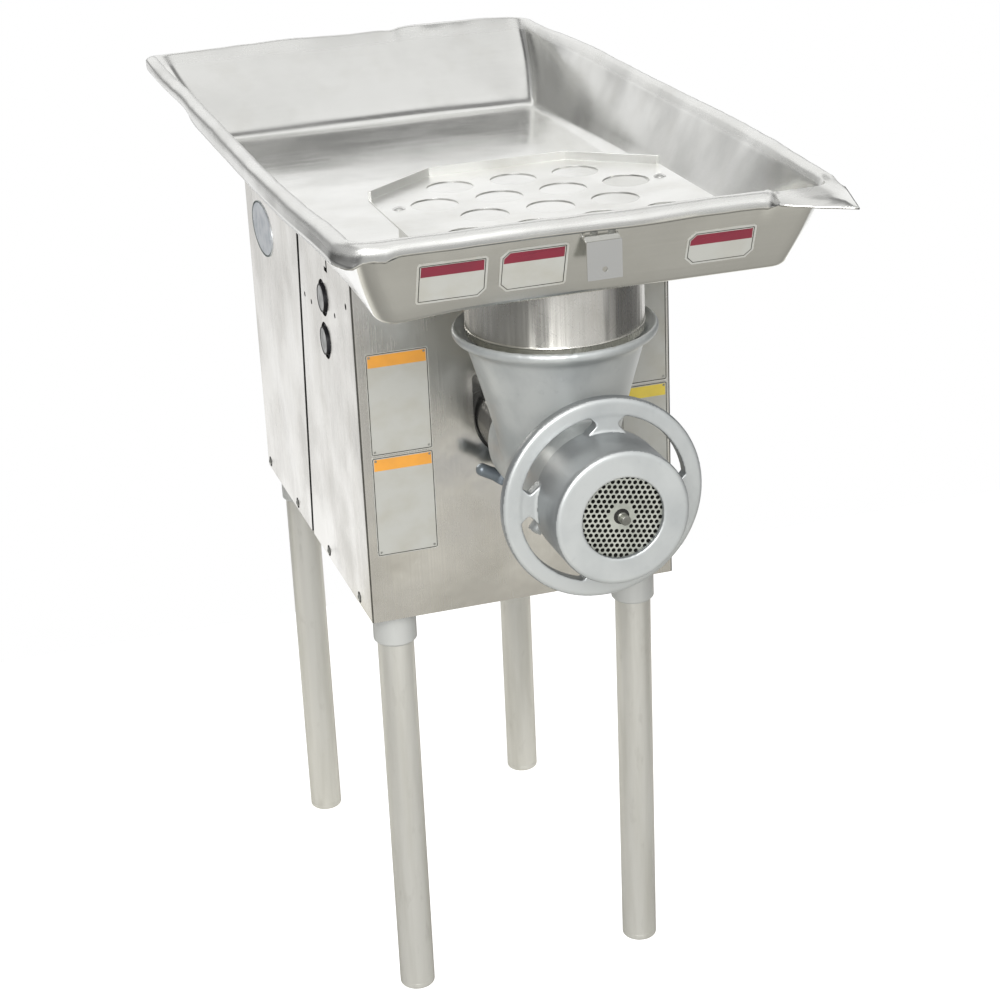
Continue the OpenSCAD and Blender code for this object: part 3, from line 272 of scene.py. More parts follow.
def fired_enamel(name, colour, aged):
    """Enamel fired on a thin plate: glossy and even, a little yellowed and rubbed."""
    made, tree, shader, place = new_material(name)
    yellow = grain(tree, place, (30, 30, 24), (0.42, 0.7), 4)
    coat(tree, shader, colour, [(yellow, 0.6, aged)])
    sheen(tree, shader, 0.32, [(yellow, 0.18)])
    return made


def laminated_core(name):
    """Stacked electrical sheet: dull grey with the thin lines of its laminations."""
    made, tree, shader, place = new_material(name, Metallic=0.8, Roughness=0.5)
    sheets = grain(tree, place, (200, 1.5, 200), (0.4, 0.6), 1)
    coat(tree, shader, "75716b", [(sheets, 1, "55524e")])
    relief(tree, shader, [(sheets, 0.1, 0.6)])
    return made


# One finish for each of the record's material slots
FINISH = {
    "housing_steel": worn_stainless("worn housing stainless", "e0ded9", "cecbc4", 0.20, "z"),
    "pan_steel": worn_stainless("scuffed pan stainless", "e6e6e3", "d6d6d2", 0.14, "x", 0.16, 0.3,
                                1014),
    "guard_steel": worn_stainless("guard stainless", "f0f0ed", "e2e2de", 0.32, "x", 0.1),
    "base_steel": metal_paint("base paint", "8d8f90", "6f7172", 0.5),
    "screw_steel": turned_steel("zinc-plated steel", "a2a39e", "7d7d77", 0.40, metallic=0.6),
    "socket_cast": metal_paint("collar paint", "bfc0bd", "adaeab", 0.40, 0.2, 0.3),
    "leg_paint": metal_paint("leg paint", "dad9d3", "bab8ae", 0.34, 0.55),
    "plate_enamel": fired_enamel("white enamel", "aeaea8", "a4a196"),
    "badge_metal": turned_steel("satin aluminium", "e6eaee", "d4dae0", 0.45, metallic=0.45),
    "black_plastic": moulded_plastic("black nylon", "17171a", "26262a", 0.45),
    "case_cast": turned_steel("polished case", "7d7c79", "565655", 0.22, (60, 60, 60)),
    "bearing_steel": turned_steel("bearing steel", "b4b8bd", "8d9196", 0.2),
    "seal_rubber": moulded_plastic("nitrile rubber", "101011", "1c1c1d", 0.6),
    "shaft_steel": turned_steel("machined steel", "a3a5a8", "7d7f82", 0.3),
    "motor_paint": metal_paint("motor enamel", "4c5257", "3a4045", 0.45, 0.0),
    "core_laminations": laminated_core("motor laminations"),
    "fan_plastic": moulded_plastic("fan plastic", "202124", "2f3034", 0.5),
    "button_plastic": moulded_plastic("button plastic", "b9bab9", "a5a6a5", 0.35),
    "head_cast": tinned_casting("tinned casting", "c3c6c5", "94999a", 0.38),
    "clamp_steel": tinned_casting("plain handle casting", "7b8389", "565e66", 0.38),
    "cutter_steel": turned_steel("ground tool steel", "c6c8bf", "a8aba2", 0.38, metallic=0.6),
}
DARK_LINE = fired_enamel("black enamel", "2b2925", "3a372f")
HEADERS = {"maroon": fired_enamel("maroon enamel", "7c2436", "6d2433"),
           "orange": fired_enamel("orange enamel", "dd9a3e", "c98c3a"),
           "yellow": fired_enamel("yellow enamel", "d9c24e", "c7b04a")}
RIM_GREEN = turned_steel("oxidised rim", "4f6360", "39494a", 0.4)
# Near black for painted shade: inside the housing, under the screw heads, round the stud's base
# and in the plate's holes
PAINTED_SHADE = moulded_plastic("painted shade black", "141412", "23221f", 0.6)
# Dark steel for the worm and knife: painted shade seen through the plate's holes
SHADE_DARKENED_STEEL = turned_steel("steel darkened as painted shade", "45443f", "2b2a27", 0.35)
DULLED = turned_steel("greasy stud steel", "8f8f88", "63635d", 0.3)
NECK = worn_stainless("streaked neck stainless", "f0eee8", "bab8ae", 0.26, "z", 0.5, 0.9)
# A darker bend steel: the painted dark reflection along the housing's front corners
BEND_REFLECTION = turned_steel("painted bend reflection", "85847d", "5d5c56", 0.35)
RIVET = turned_steel("bright rivet", "dcdcd9", "b5b5b0", 0.25)
AS_CAST = tinned_casting("rough casting", "9fa2a3", "6f7477", 0.42, 0.7)
MACHINED = tinned_casting("turned casting", "c6c9c8", "a5a9aa", 0.36, 0.5, 0.6, 0.06)


# --- Making pieces ---

def node_slot(node):
    """The record's material slot of a CAD node."""
    return next(s["material_slot"] for s in frame["record"]["subparts"] if s["node"] == node)


def finish_cad_nodes():
    """Each CAD node that stays in sight takes the finish of its slot."""
    for name, piece in nodes.items():
        for place in piece.material_slots:
            place.material = FINISH[node_slot(name)]


def make_piece(name, shape, node, extra=(), angle=35):
    """A bmesh as a piece that stands for a CAD node and rides on its body."""
    mesh = bpy.data.meshes.new(name)
    shape.to_mesh(mesh)
    shape.free()
    for finish in (FINISH[node_slot(node)], *extra):
        mesh.materials.append(finish)
    mesh.shade_smooth()
    mesh.set_sharp_from_angle(angle=math.radians(angle))
    piece = bpy.data.objects.new(name, mesh)
    bpy.context.scene.collection.objects.link(piece)
    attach(piece, nodes[node]["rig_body"])
    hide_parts(node)
    return piece


def refinished(shape, number=1):
    """A shape with all its faces in one of its piece's materials."""
    for face in shape.faces:
        face.material_index = number
    return shape


def welded(node):
    """A merged copy of a CAD node, with the triangles of its flat faces joined."""
    shape = bmesh.new()
    shape.from_mesh(nodes[node].data)
    bmesh.ops.remove_doubles(shape, verts=shape.verts, dist=0.005 * MM)
    bmesh.ops.dissolve_limit(shape, angle_limit=math.radians(0.5), verts=shape.verts,
                             edges=shape.edges)
    return refinished(shape, 0)


def round_edges(piece, width, angle=40, segments=2):
    """Broken edges that catch the light, as sheet and machined parts have."""
    bevel = piece.modifiers.new("edges", "BEVEL")
    bevel.width = width * MM
    bevel.segments = segments
    bevel.limit_method = "ANGLE"
    bevel.angle_limit = math.radians(angle)
    bevel.harden_normals = True
    return piece


def edged(node, width):
    """A CAD node with broken edges."""
    return round_edges(make_piece(node + "_edged", welded(node), node), width)


def applied(shape, change):
    """A bmesh after the modifiers that change adds to it."""
    source = bpy.data.objects.new("pattern", bpy.data.meshes.new("pattern"))
    shape.to_mesh(source.data)
    shape.free()
    bpy.context.scene.collection.objects.link(source)
    change(source)
    worked = source.evaluated_get(bpy.context.evaluated_depsgraph_get())
    made = bmesh.new()
    made.from_mesh(worked.to_mesh())
    worked.to_mesh_clear()
    bpy.data.objects.remove(source)
    return made


def islands(shape):
    """The separate solids of a bmesh, each as a list of its vertices."""
    left = set(shape.verts)
    found = []
    for start in shape.verts:
        if start not in left:
            continue
        left.discard(start)
        held = [start]
        for vert in held:
            for edge in vert.link_edges:
                other = edge.other_vert(vert)
                if other in left:
                    left.discard(other)
                    held.append(other)
        found.append(held)
    return found


def corners_of(verts):
    """The lowest and highest corner of some vertices."""
    return (Vector([min(v.co[i] for v in verts) for i in range(3)]),
            Vector([max(v.co[i] for v in verts) for i in range(3)]))


def join_in(shape, part, place):
    """Adds one bmesh to another, at its place."""
    part.transform(place)
    carrier = bpy.data.meshes.new("carrier")
    part.to_mesh(carrier)
    part.free()
    shape.from_mesh(carrier)
    bpy.data.meshes.remove(carrier)


# --- Housing and legs ---

# How deep the outside of the sheets' box goes, in mm
SKIN = 1.9


def make_housing():
    """The sheet-metal box with what stands on it and under it: its sheets are bright outside,
    in painted shade inside and on their cut edges, with a painted dark reflection in the front's
    bends."""
    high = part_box("rear_cover")[1]
    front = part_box("front_shell")[0].y

    def finish_of(face):
        """0 on the outside and 2 in the front's bends, a painted dark reflection. 1 elsewhere,
        painted shade: inside, on cut edges.
        """
        spot, out = face.calc_center_median(), face.normal
        side = high.x - abs(spot.x)
        end = min(spot.y - front, high.y - spot.y)
        facing = out.x * math.copysign(1, spot.x)
        ending = out.y * math.copysign(1, spot.y - (front + high.y) / 2)
        if side < SKIN * MM and end < SKIN * MM:
            bent = 2 if spot.y < (front + high.y) / 2 and min(facing, ending) > 0.25 else 0
            return 1 if facing + ending < 0.5 else bent
        inside = facing < 0.5 if side < SKIN * MM else ending < 0.5 or end > SKIN * MM
        return 1 if inside else 0
    for node in ("front_shell", "rear_cover"):
        shape = welded(node)
        shape.normal_update()
        for face in shape.faces:
            face.material_index = finish_of(face)
        # Painted shade inside and on cut edges, a painted dark reflection in the front's bends
        round_edges(make_piece(node + "_sheet", shape, node, [PAINTED_SHADE, BEND_REFLECTION]), 0.5)
    edged("top_cover", 0.6)
    edged("cable_gland", 0.5)
    edged("gear_case", 1.2)
    for corner in ("fl", "fr", "rl", "rr"):
        edged("leg_socket_" + corner, 2.0)
        edged("leg_" + corner, 0.4)
    edged("leg_plugs", 0.3)


# The screws' heads, their slots and the painted shadow rings under them, in mm
SCREW_HEAD = 2.2
SLOT_W = 1.3
SLOT_DEEP = 1.2
SLOT_L = 20
SHADOW_RING_R = 6.6
SHADOW_RING_T = 0.25


def make_screws():
    """The housing's dome-headed screws, each with its slot at another turn, and a dark ring of
    painted shadow round it."""
    shape = welded("housing_screws")
    middle = sum(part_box("front_shell"), Vector()) / 2
    draw = random.Random(5)
    cutter = bmesh.new()
    seats = []
    for verts in islands(shape):
        low, high = corners_of(verts)
        size = high - low
        out = Vector((1, 0, 0)) if size.x > size.y else Vector((0, 1, 0))
        if (low + high).x / 2 < middle.x and out.x:
            out = -out
        top = (low + high) / 2 + out * abs(size.dot(out)) / 2
        turn = out.to_track_quat("Z", "Y").to_matrix().to_4x4()
        seats.append(Matrix.Translation(top - out * SCREW_HEAD * MM) @ turn)
        spin = Matrix.Rotation(draw.uniform(0, math.pi), 4, "Z")
        slot = Matrix.Diagonal((SLOT_L * MM, SLOT_W * MM, 2 * SLOT_DEEP * MM, 1))
        bmesh.ops.create_cube(cutter, size=1, matrix=Matrix.Translation(top) @ turn @ spin @ slot)
    saw = bpy.data.objects.new("saw", bpy.data.meshes.new("saw"))
    cutter.to_mesh(saw.data)
    cutter.free()
    bpy.context.scene.collection.objects.link(saw)

    def slotted(source):
        cut = source.modifiers.new("slots", "BOOLEAN")
        cut.object = saw
        cut.solver = "EXACT"
    heads = applied(shape, slotted)
    bpy.data.objects.remove(saw)
    old = set(heads.faces)
    # Under each head, a thin black disc: a painted shadow ring
    for place in seats:
        bmesh.ops.create_cone(heads, cap_ends=True, segments=24, radius1=SHADOW_RING_R * MM,
                              radius2=SHADOW_RING_R * MM, depth=2 * SHADOW_RING_T * MM, matrix=place)
    for face in heads.faces:
        face.material_index = 0 if face in old else 1
    make_piece("slotted_screws", heads, "housing_screws", [PAINTED_SHADE])


BUTTON_RIM = 1.4
BUTTON_STEP = 0.5


def make_button(node):
    """A push button: a dark moulded body with a pale disc let into its face."""
    shape = refinished(welded(node))
    cap = min(shape.faces, key=lambda face: face.calc_center_median().x)
    bmesh.ops.inset_region(shape, faces=[cap], thickness=BUTTON_RIM * MM)
    bmesh.ops.inset_region(shape, faces=[cap], thickness=BUTTON_STEP * MM,
                           depth=-BUTTON_STEP * MM)
    cap.material_index = 0
    round_edges(make_piece(node + "_cap", shape, node, [FINISH["black_plastic"]]), 0.5)


# --- Head ---

# The ring's turn in degrees and its sizes in mm
SPOKE_TURN = -4
WHEEL_GUSSET = 8.0
WHEEL_T = 14.0
WHEEL_SET = 0.5
HUB_R = 70.0
WHEEL_BORE = 88.0
SPOKE_HALF = 12.0
ARC_STEPS = 8


def gusseted(shape):
    """The ring with the mould's rounded corners, where its spokes meet its hub and its rim."""
    low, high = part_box("adjusting_ring")
    axis = (low + high) / 2
    back = high.y - (WHEEL_T - WHEEL_SET) * MM
    turns = [math.pi / 2 * step / ARC_STEPS for step in range(ARC_STEPS + 1)]
    arc = [(1 - math.sin(turn), 1 - math.cos(turn)) for turn in turns]
    for spoke in range(4):
        turn = Matrix.Rotation(-math.radians(90 * spoke + SPOKE_TURN), 4, "Y")
        for base, way in ((HUB_R, 1), (WHEEL_BORE, -1)):
            foot = math.sqrt(base ** 2 - SPOKE_HALF ** 2)
            for side in (-1, 1):
                line = [(foot - way, side * (SPOKE_HALF - 1)),
                        (foot - way, side * (SPOKE_HALF + WHEEL_GUSSET))]
                line += [(foot + way * WHEEL_GUSSET * out, side * (SPOKE_HALF + WHEEL_GUSSET * up))
                         for out, up in arc]
                line.append((foot + way * WHEEL_GUSSET, side * (SPOKE_HALF - 1)))
                spots = [shape.verts.new(turn @ Vector((x * MM, 0, z * MM)) +
                                         Vector((axis.x, back, axis.z))) for x, z in line]
                web = shape.faces.new(spots)
                grown = bmesh.ops.extrude_face_region(shape, geom=[web])["geom"]
                for vert in grown:
                    if isinstance(vert, bmesh.types.BMVert):
                        vert.co.y += (WHEEL_T - 2 * WHEEL_SET) * MM
                walls = {face for vert in spots for face in vert.link_faces}
                walls |= {face for face in grown if isinstance(face, bmesh.types.BMFace)}
                bmesh.ops.recalc_face_normals(shape, faces=list(walls))
    return shape


def cast(shape, voxel, passes):
    """A shape as a casting: one skin, with its inner corners filled by the mould."""
    def pour(source):
        skin = source.modifiers.new("skin", "REMESH")
        skin.mode = "VOXEL"
        skin.voxel_size = voxel * MM
        ease = source.modifiers.new("ease", "SMOOTH")
        ease.factor = 0.5
        ease.iterations = passes
    return applied(shape, pour)


# The stud's outline outside the plate: distance in front of the plate, radius
STUD_LINE = ((-8.0, 7.9), (0.2, 7.9), (0.2, 5.3), (3.4, 5.3), (4.0, 3.9), (5.6, 3.9),
             (6.2, 5.0), (12.2, 5.0), (13.0, 4.2), (13.0, 0.0))


def make_stud():
    """The stud that carries the plate, with the groove that its spanner or puller takes."""
    low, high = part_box("worm_stud")
    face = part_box("grinding_plate")[0].y
    axis = (low + high) / 2
    shape = bmesh.new()
    spots = [shape.verts.new((axis.x, high.y, axis.z))]
    spots.append(shape.verts.new((axis.x + STUD_LINE[0][1] * MM, high.y, axis.z)))
    spots += [shape.verts.new((axis.x + r * MM, face - out * MM, axis.z))
              for out, r in STUD_LINE]
    line = [shape.edges.new(pair) for pair in zip(spots, spots[1:])]
    bmesh.ops.spin(shape, geom=spots + line, cent=axis, axis=(0, 1, 0), angle=2 * math.pi,
                   steps=40, use_merge=True)
    bmesh.ops.remove_doubles(shape, verts=shape.verts, dist=0.002 * MM)
    bmesh.ops.recalc_face_normals(shape, faces=shape.faces)
    # The stud's wide base, down in the plate's hole, takes the painted shade
    for face in shape.faces:
        spot = face.calc_center_median() - axis
        face.material_index = 2 if math.hypot(spot.x, spot.z) > 5.5 * MM else 1
    round_edges(make_piece("turned_stud", shape, "worm_stud", [DULLED, PAINTED_SHADE], angle=30), 0.3)


def make_head():
    """The castings, with their machined faces, and the cutting set inside them, whose steel is
    darkened as painted shade so that the plate's holes look dark.
    """
    make_piece("head_casting", cast(welded("grinder_head"), 2.3, 4), "grinder_head", angle=60)
    ring = cast(gusseted(welded("adjusting_ring")), 1.4, 3)
    ring.normal_update()
    for face in ring.faces:
        face.material_index = 2 if abs(face.normal.y) > 0.6 else 1
    make_piece("ring_casting", ring, "adjusting_ring", [AS_CAST, MACHINED], angle=60)
    make_piece("clamp_casting", cast(welded("clamp_handle"), 0.8, 5), "clamp_handle", angle=60)
    # The worm and knife in dark steel: painted shade behind the plate's holes
    for node, name, shape in (("worm", "worm_casting", cast(welded("worm"), 1.5, 4)),
                              ("knife", "shade_darkened_knife", welded("knife"))):
        make_piece(name, refinished(shape), node, [SHADE_DARKENED_STEEL])
    # The plate's front is ground steel; its hole walls, rim and back are painted shade
    plate = welded("grinding_plate")
    plate.normal_update()
    for face in plate.faces:
        face.material_index = 0 if face.normal.y < -0.9 else 1
    make_piece("drilled_plate", plate, "grinding_plate", [PAINTED_SHADE])
    make_stud()


# --- Blank plates ---

PLATE_T = 0.6
PLATE_LINE = 0.9
CLIP = 8.0
STUD_R = 1.8
STUD_IN = 4.5
# Corners clipped off each wall plate, from the left: (right side, upper side)
WALL_CLIPS = [[(True, False)], [(False, True), (False, False)],
              [(False, True), (False, False), (True, False)]]
OVAL_RIM = 2.2


def blank_plate(width, height, corner, clipped, margin, band, studs):
    """A blank plate lying flat, x across and y up: white, with a thin dark outline and a
    coloured band along the top. clipped names the corners cut off straight, as (x, y) signs.
    Material 0 is white, 1 the outline, 2 the band and 3 the studs that hold its corners."""
    plate = bmesh.new()
    size = Matrix.Diagonal((width * MM, height * MM, 1, 1))
    bmesh.ops.create_grid(plate, x_segments=1, y_segments=1, size=0.5, matrix=size)
    for cut in (True, False):
        held = [v for v in plate.verts if abs(abs(v.co.x) - width / 2 * MM) < 1e-6
                and abs(abs(v.co.y) - height / 2 * MM) < 1e-6
                and ((v.co.x > 0, v.co.y > 0) in clipped) == cut]
        if held:
            bmesh.ops.bevel(plate, geom=held, offset=(CLIP if cut else corner) * MM,
                            offset_type="OFFSET", segments=1 if cut else 4, profile=0.5,
                            affect="VERTICES", material=-1)
    inner = plate.faces[:]
    bmesh.ops.inset_region(plate, faces=inner, use_boundary=True, thickness=margin * MM)
    rim = bmesh.ops.inset_region(plate, faces=inner, thickness=PLATE_LINE * MM)["faces"]
    for face in rim:
        face.material_index = 1
    level = (height / 2 - margin - PLATE_LINE - band) * MM
    bmesh.ops.bisect_plane(plate, geom=inner + inner[0].edges[:] + inner[0].verts[:],
                           plane_co=(0, level, 0), plane_no=(0, 1, 0))
    top = [face for face in plate.faces if face.material_index == 0
           and face.calc_center_median().y > level
           and face.calc_area() > 0.4 * band * width * MM ** 2]
    bmesh.ops.inset_region(plate, faces=top, thickness=PLATE_LINE * MM)
    for face in top:
        face.material_index = 2
    raised = bmesh.ops.extrude_face_region(plate, geom=plate.faces[:], use_keep_orig=True)
    lifted = [v for v in raised["geom"] if isinstance(v, bmesh.types.BMVert)]
    bmesh.ops.translate(plate, verts=lifted, vec=(0, 0, PLATE_T * MM))
    bmesh.ops.recalc_face_normals(plate, faces=plate.faces)
    if studs:
        for x in (-1, 1):
            for y in (-1, 1):
                at = Vector((x * (width / 2 - STUD_IN), y * (height / 2 - STUD_IN), PLATE_T))
                made = bmesh.ops.create_cone(plate, segments=12, cap_ends=True,
                                             radius1=STUD_R * MM, radius2=0.6 * STUD_R * MM,
                                             depth=STUD_R / 2 * MM,
                                             matrix=Matrix.Translation(at * MM))
                for vert in made["verts"]:
                    for face in vert.link_faces:
                        face.material_index = 3
    return plate


def plate_places(node):
    """Where a node's plates are: each plate's width and height, and the matrix that lays x
    across it, y up it and z out of it, on the sheet behind it."""
    shape = welded(node)
    found = []
    for verts in islands(shape):
        faces = {face for vert in verts for face in vert.link_faces if face.normal.y < -0.5}
        face = max(faces, key=lambda f: f.calc_area())
        out = face.normal.copy()
        across = Vector((1, 0, 0))
        up = out.cross(across)
        spots = [v.co for v in face.verts]
        width = max(s.dot(across) for s in spots) - min(s.dot(across) for s in spots)
        height = max(s.dot(up) for s in spots) - min(s.dot(up) for s in spots)
        back = face.calc_center_median() - out * PLATE_T * MM
        place = Matrix((across, up, out)).transposed().to_4x4()
        place.translation = back
        found.append((width / MM, height / MM, place))
    shape.free()
    return sorted(found, key=lambda f: (round(f[2].translation.x, 3), -f[2].translation.z))


def make_plates():
    """The plates on the housing's front and on the pan's front wall, all of them blank."""
    panel, wall = bmesh.new(), bmesh.new()
    for width, height, place in plate_places("panel_plates"):
        plate = blank_plate(width, height, 3.0, (), 0.9, 15.0, True)
        for face in plate.faces:
            if face.material_index == 2 and place.translation.x > 0:
                face.material_index = 4
        join_in(panel, plate, place)
    for clipped, (width, height, place) in zip(WALL_CLIPS, plate_places("pan_plates")):
        join_in(wall, blank_plate(width, height, 3.5, clipped, 2.2, 13.0, False), place)
    make_piece("front_plates", panel, "panel_plates",
               [DARK_LINE, HEADERS["orange"], FINISH["screw_steel"], HEADERS["yellow"]])
    make_piece("wall_plates", wall, "pan_plates", [DARK_LINE, HEADERS["maroon"]])


def make_oval():
    """The blank oval plate: satin, with a dark rim and a rivet at each end."""
    shape = welded("oval_plate")
    low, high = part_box("oval_plate")
    face = min(shape.faces, key=lambda f: f.calc_center_median().x)
    rim = bmesh.ops.inset_region(shape, faces=[face], thickness=OVAL_RIM * MM,
                                 depth=-0.3 * MM)["faces"]
    for side in rim:
        side.material_index = 1
    for end in (low.y, high.y):
        inward = math.copysign(3.2 * OVAL_RIM * MM, (low.y + high.y) / 2 - end)
        at = Matrix.Translation(((low.x + 0.2 * MM), end + inward, (low.z + high.z) / 2))
        bmesh.ops.create_uvsphere(shape, u_segments=12, v_segments=8, radius=STUD_R * MM,
                                  matrix=at @ Matrix.Diagonal((0.5, 1, 1, 1)))
    make_piece("oval_badge", shape, "oval_plate", [RIM_GREEN])


# --- Pan ---

# The pan's sheet, its rolled rim, the slope of each wall and its bends, in mm
SHEET = 2.0
RIM_R = 9.0
RIM_LIP = 7.0
RIM_CORNER = 26.0
SIDE_FLARE = 46.0
FRONT_FLARE = 37.0
REAR_FLARE = 128.0
FLOOR_CORNER = 18.0
FLOOR_INSET = 26.0
FLOOR_BEND = 13.0
REAR_BEND = 24.0
FRONT_BEND = 4.0
NECK_EASE = 4.0
NECK_STEP = 2.75
# The rim of the neck's hole, turned down: distance out from the neck and depth
NECK_LIP = ((0.3 * NECK_EASE, 0.4), (0, 1.5))
BEND_STEPS = 6
WALL_STEPS = 7
ROLL_STEPS = 10
LIP_STEPS = 3
# Cuts along x and y, fine enough for the knocks
CUTS = (84, 120)
UP = Vector((0, 0, 1))


def station(place, loop):
    """Where a place on a rounded rectangle lies: shares along x and y, and the way out."""
    half, front, back, corner = loop
    mid, reach = (front + back) / 2, (back - front) / 2 - corner
    x = max(corner - half, min(half - corner, place.x))
    y = max(-reach, min(reach, place.y - mid))
    way = Vector((place.x - x, place.y - mid - y, 0)).normalized()
    return x / (half - corner), y / reach, way


def placed(spot, loop, height):
    """The place on a rounded rectangle that a station names."""
    half, front, back, corner = loop
    u, v, way = spot
    reach = (back - front) / 2 - corner
    return Vector((u * (half - corner), (front + back) / 2 + v * reach, height)) + way * corner


def along(start, end, steps):
    """Places from just after start up to end."""
    return [start.lerp(end, step / steps) for step in range(1, steps + 1)]


def eased(value, start, end):
    """0 before start and 1 after end, smooth between."""
    share = max(0.0, min(1.0, (value - start) / (end - start)))
    return share * share * (3 - 2 * share)


# The torn front right corner, where the roll has come open into a beak: the sheet's edge from
# the roll's end, by the beak's tip, to where the side's roll begins, in mm
BEAK = (Vector((184, -470, 1015)), Vector((256, -501, 1012)), Vector((272, -438, 1020)))
BEAK_START = (172, 183)
BEAK_FRONT = 250
BEAK_TURN = 45
BEAK_SIDE = -457
BEAK_END = (-446, -430)
# How far the left side's lip hangs lower, and between which places along y that ends
DROOP = 6.0
DROOP_END = (150, 235)


def beak_share(spot, top):
    """How far a strip belongs to the beak, and where its edge lies on it."""
    x, y = top.x / MM, top.y / MM
    if spot[2].y > -0.01 and y > BEAK_END[1] or x < BEAK_START[0] or y > BEAK_END[1]:
        return 0.0, None
    share = eased(x, *BEAK_START) * (1 - eased(y, *BEAK_END))
    turn = math.degrees(math.atan2(spot[2].x, -spot[2].y))
    if turn < 1:
        reach = (x - BEAK_START[1]) / (BEAK_FRONT - BEAK_START[1])
        return share, BEAK[0].lerp(BEAK[1], max(0.0, min(1.0, reach))) * MM
    if turn < BEAK_TURN:
        return share, BEAK[0].lerp(BEAK[1], min(1.0, 0.72 + turn / 160)) * MM
    reach = (turn - BEAK_TURN) / BEAK_TURN * 0.75 + max(0.0, y - BEAK_SIDE) / 40
    return share, BEAK[1].lerp(BEAK[2], min(1.0, reach)) * MM


def strip(spot, inset, foot, top):
    """One strip of the pan's sheet: round the floor's bend, up the wall, over the roll and
    down its lip. foot is where floor and wall would meet, and top is the roll's middle."""
    way = spot[2]
    level = math.hypot(top.x - foot.x, top.y - foot.y)
    rise = top.z - foot.z
    start = math.atan2(rise, level) + math.asin(RIM_R * MM / math.hypot(level, rise))
    start += math.pi / 2
    crown = top + (way * math.cos(start) + UP * math.sin(start)) * RIM_R * MM
    bend = FLOOR_BEND + abs(way.y) * ((FRONT_BEND if way.y < 0 else REAR_BEND) - FLOOR_BEND)
    bend *= MM
    near = foot + (inset - foot).normalized() * bend
    far = foot + (crown - foot).normalized() * bend
    places = [near]
    for step in range(1, BEND_STEPS + 1):
        t = step / BEND_STEPS
        places.append(near * (1 - t) ** 2 + foot * 2 * t * (1 - t) + far * t * t)
    places += along(far, crown, WALL_STEPS)
    turned = []
    for step in range(1, ROLL_STEPS + 1):
        turn = start * (1 - step / ROLL_STEPS)
        turned.append(top + (way * math.cos(turn) + UP * math.sin(turn)) * RIM_R * MM)
    droop = DROOP * (1 - eased(top.y / MM, *DROOP_END)) if way.x < -0.5 else 0.0
    edge = top + way * (RIM_R - 1 + 0.4 * droop) * MM - UP * (RIM_LIP + droop) * MM
    turned += along(turned[-1], edge, LIP_STEPS)
    share, tip = beak_share(spot, top)
    if share:
        flat = along(crown, tip, len(turned))
        turned = [a.lerp(b, share) for a, b in zip(turned, flat)]
    return places + turned


# Knocks in the pan: corner or side that it is measured from as (x, y) signs, offset from there,
# reach along each axis and push, all in mm. The wall's upper part and the roll give way most.
KNOCKS = [
    ((1, -1), (0, 30, 0), (70, 150, 70), (-13, 0, 0)),
    ((-1, -1), (0, 30, 0), (70, 150, 70), (13, 0, 0)),
    ((1, 1), (0, -50, 0), (70, 120, 70), (-14, 0, 0)),
    ((0, -1), (176, 4, -10), (5, 14, 14), (0, 5, 2)),
    ((0, -1), (168, 0, -12), (7, 12, 12), (0, -2, -2)),
    ((-1, -1), (20, 8, -18), (24, 20, 12), (1, 0, -5)),
    ((-1, -1), (46, 2, -16), (10, 10, 12), (0, -2, -4)),
    ((-1, 1), (2, -30, -10), (16, 40, 20), (-2, 2, 3)),
    ((0, 1), (62, 0, 0), (9, 100, 80), (0, -5, -1)),
    ((0, 1), (96, 0, 0), (34, 110, 90), (0, 3, 1)),
    ((0, 1), (-119, 0, 0), (14, 40, 30), (0, -3, 0)),
    ((0, 1), (-80, 0, 0), (70, 50, 50), (0, 0, 3)),
    ((0, 1), (150, 0, 0), (80, 50, 50), (0, 0, 5)),
    ((0, -1), (-150, 0, -10), (60, 14, 20), (0, 2, -1)),
    ((0, -1), (40, 0, -10), (50, 14, 20), (0, -1.5, -1)),
    ((-1, 0), (0, -220, -6), (16, 70, 20), (2.5, 0, -1)),
    ((-1, 0), (0, 60, -6), (16, 60, 20), (1.5, 0, 0.5)),
    ((-1, 0), (0, 250, -6), (16, 50, 20), (2, 0, 0.5)),
    ((1, 0), (0, 60, -6), (16, 110, 20), (-2, 0, -0.5)),
]
CRUMPLES = [((-1, -1), (24, 6, -18), (30, 16, 14), 2.4, 5.5),
            ((1, -1), (-26, -10, -14), (26, 24, 12), 1.2, 12.0)]
# Unevenness of the rim: its size along the rim and its depth, in mm
WANDER = ((80.0, 1.0), (22.0, 0.55))
# One fixed draw of it, and of the crumpled corners, for every run
WANDER_SEED = 7
RIM_SAG = 3.0
# The floor's sunken corner: its place, how far it reaches and how deep it is
SUNK_AT = Vector((-212, -428, 0))
SUNK_R = 60
SUNK = 5.0


def knock_pan(shape):
    """Lays the dents, the bent corners and the general unevenness of years of use on the pan."""
    noise.seed_set(WANDER_SEED)
    low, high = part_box("feed_pan")
    middle, reach = (low + high) / 2, (high - low) / 2
    for vert in shape.verts:
        start = vert.co.copy()
        give = max(0.0, (start.z - low.z) / (high.z - low.z) - 0.08)

        def weight(side, offset, size):
            at = Vector((middle.x + side[0] * reach.x, middle.y + side[1] * reach.y, high.z))
            away = start - at - Vector(offset) * MM
            return give * math.exp(-sum((away[i] / (size[i] * MM)) ** 2 for i in range(3)))
        for side, offset, size, push in KNOCKS:
            vert.co += Vector(push) * MM * weight(side, offset, size)
        for side, offset, size, depth, grit in CRUMPLES:
            crease = noise.noise_vector(start / (grit * MM)) * depth * MM
            vert.co += crease * weight(side, offset, size)
        for size, push in WANDER:
            vert.co += noise.noise_vector(start / (size * MM)) * push * MM * give ** 2
        vert.co.z -= RIM_SAG * MM * give
        away = (start / MM - SUNK_AT).xy.length / SUNK_R
        vert.co.z -= SUNK * MM * math.exp(-away ** 2) * max(0.0, 1 - 2 * give)
        vert.co.x = max(low.x, min(high.x, vert.co.x))
        vert.co.y = min(high.y, vert.co.y)
        vert.co.z = min(high.z, vert.co.z)


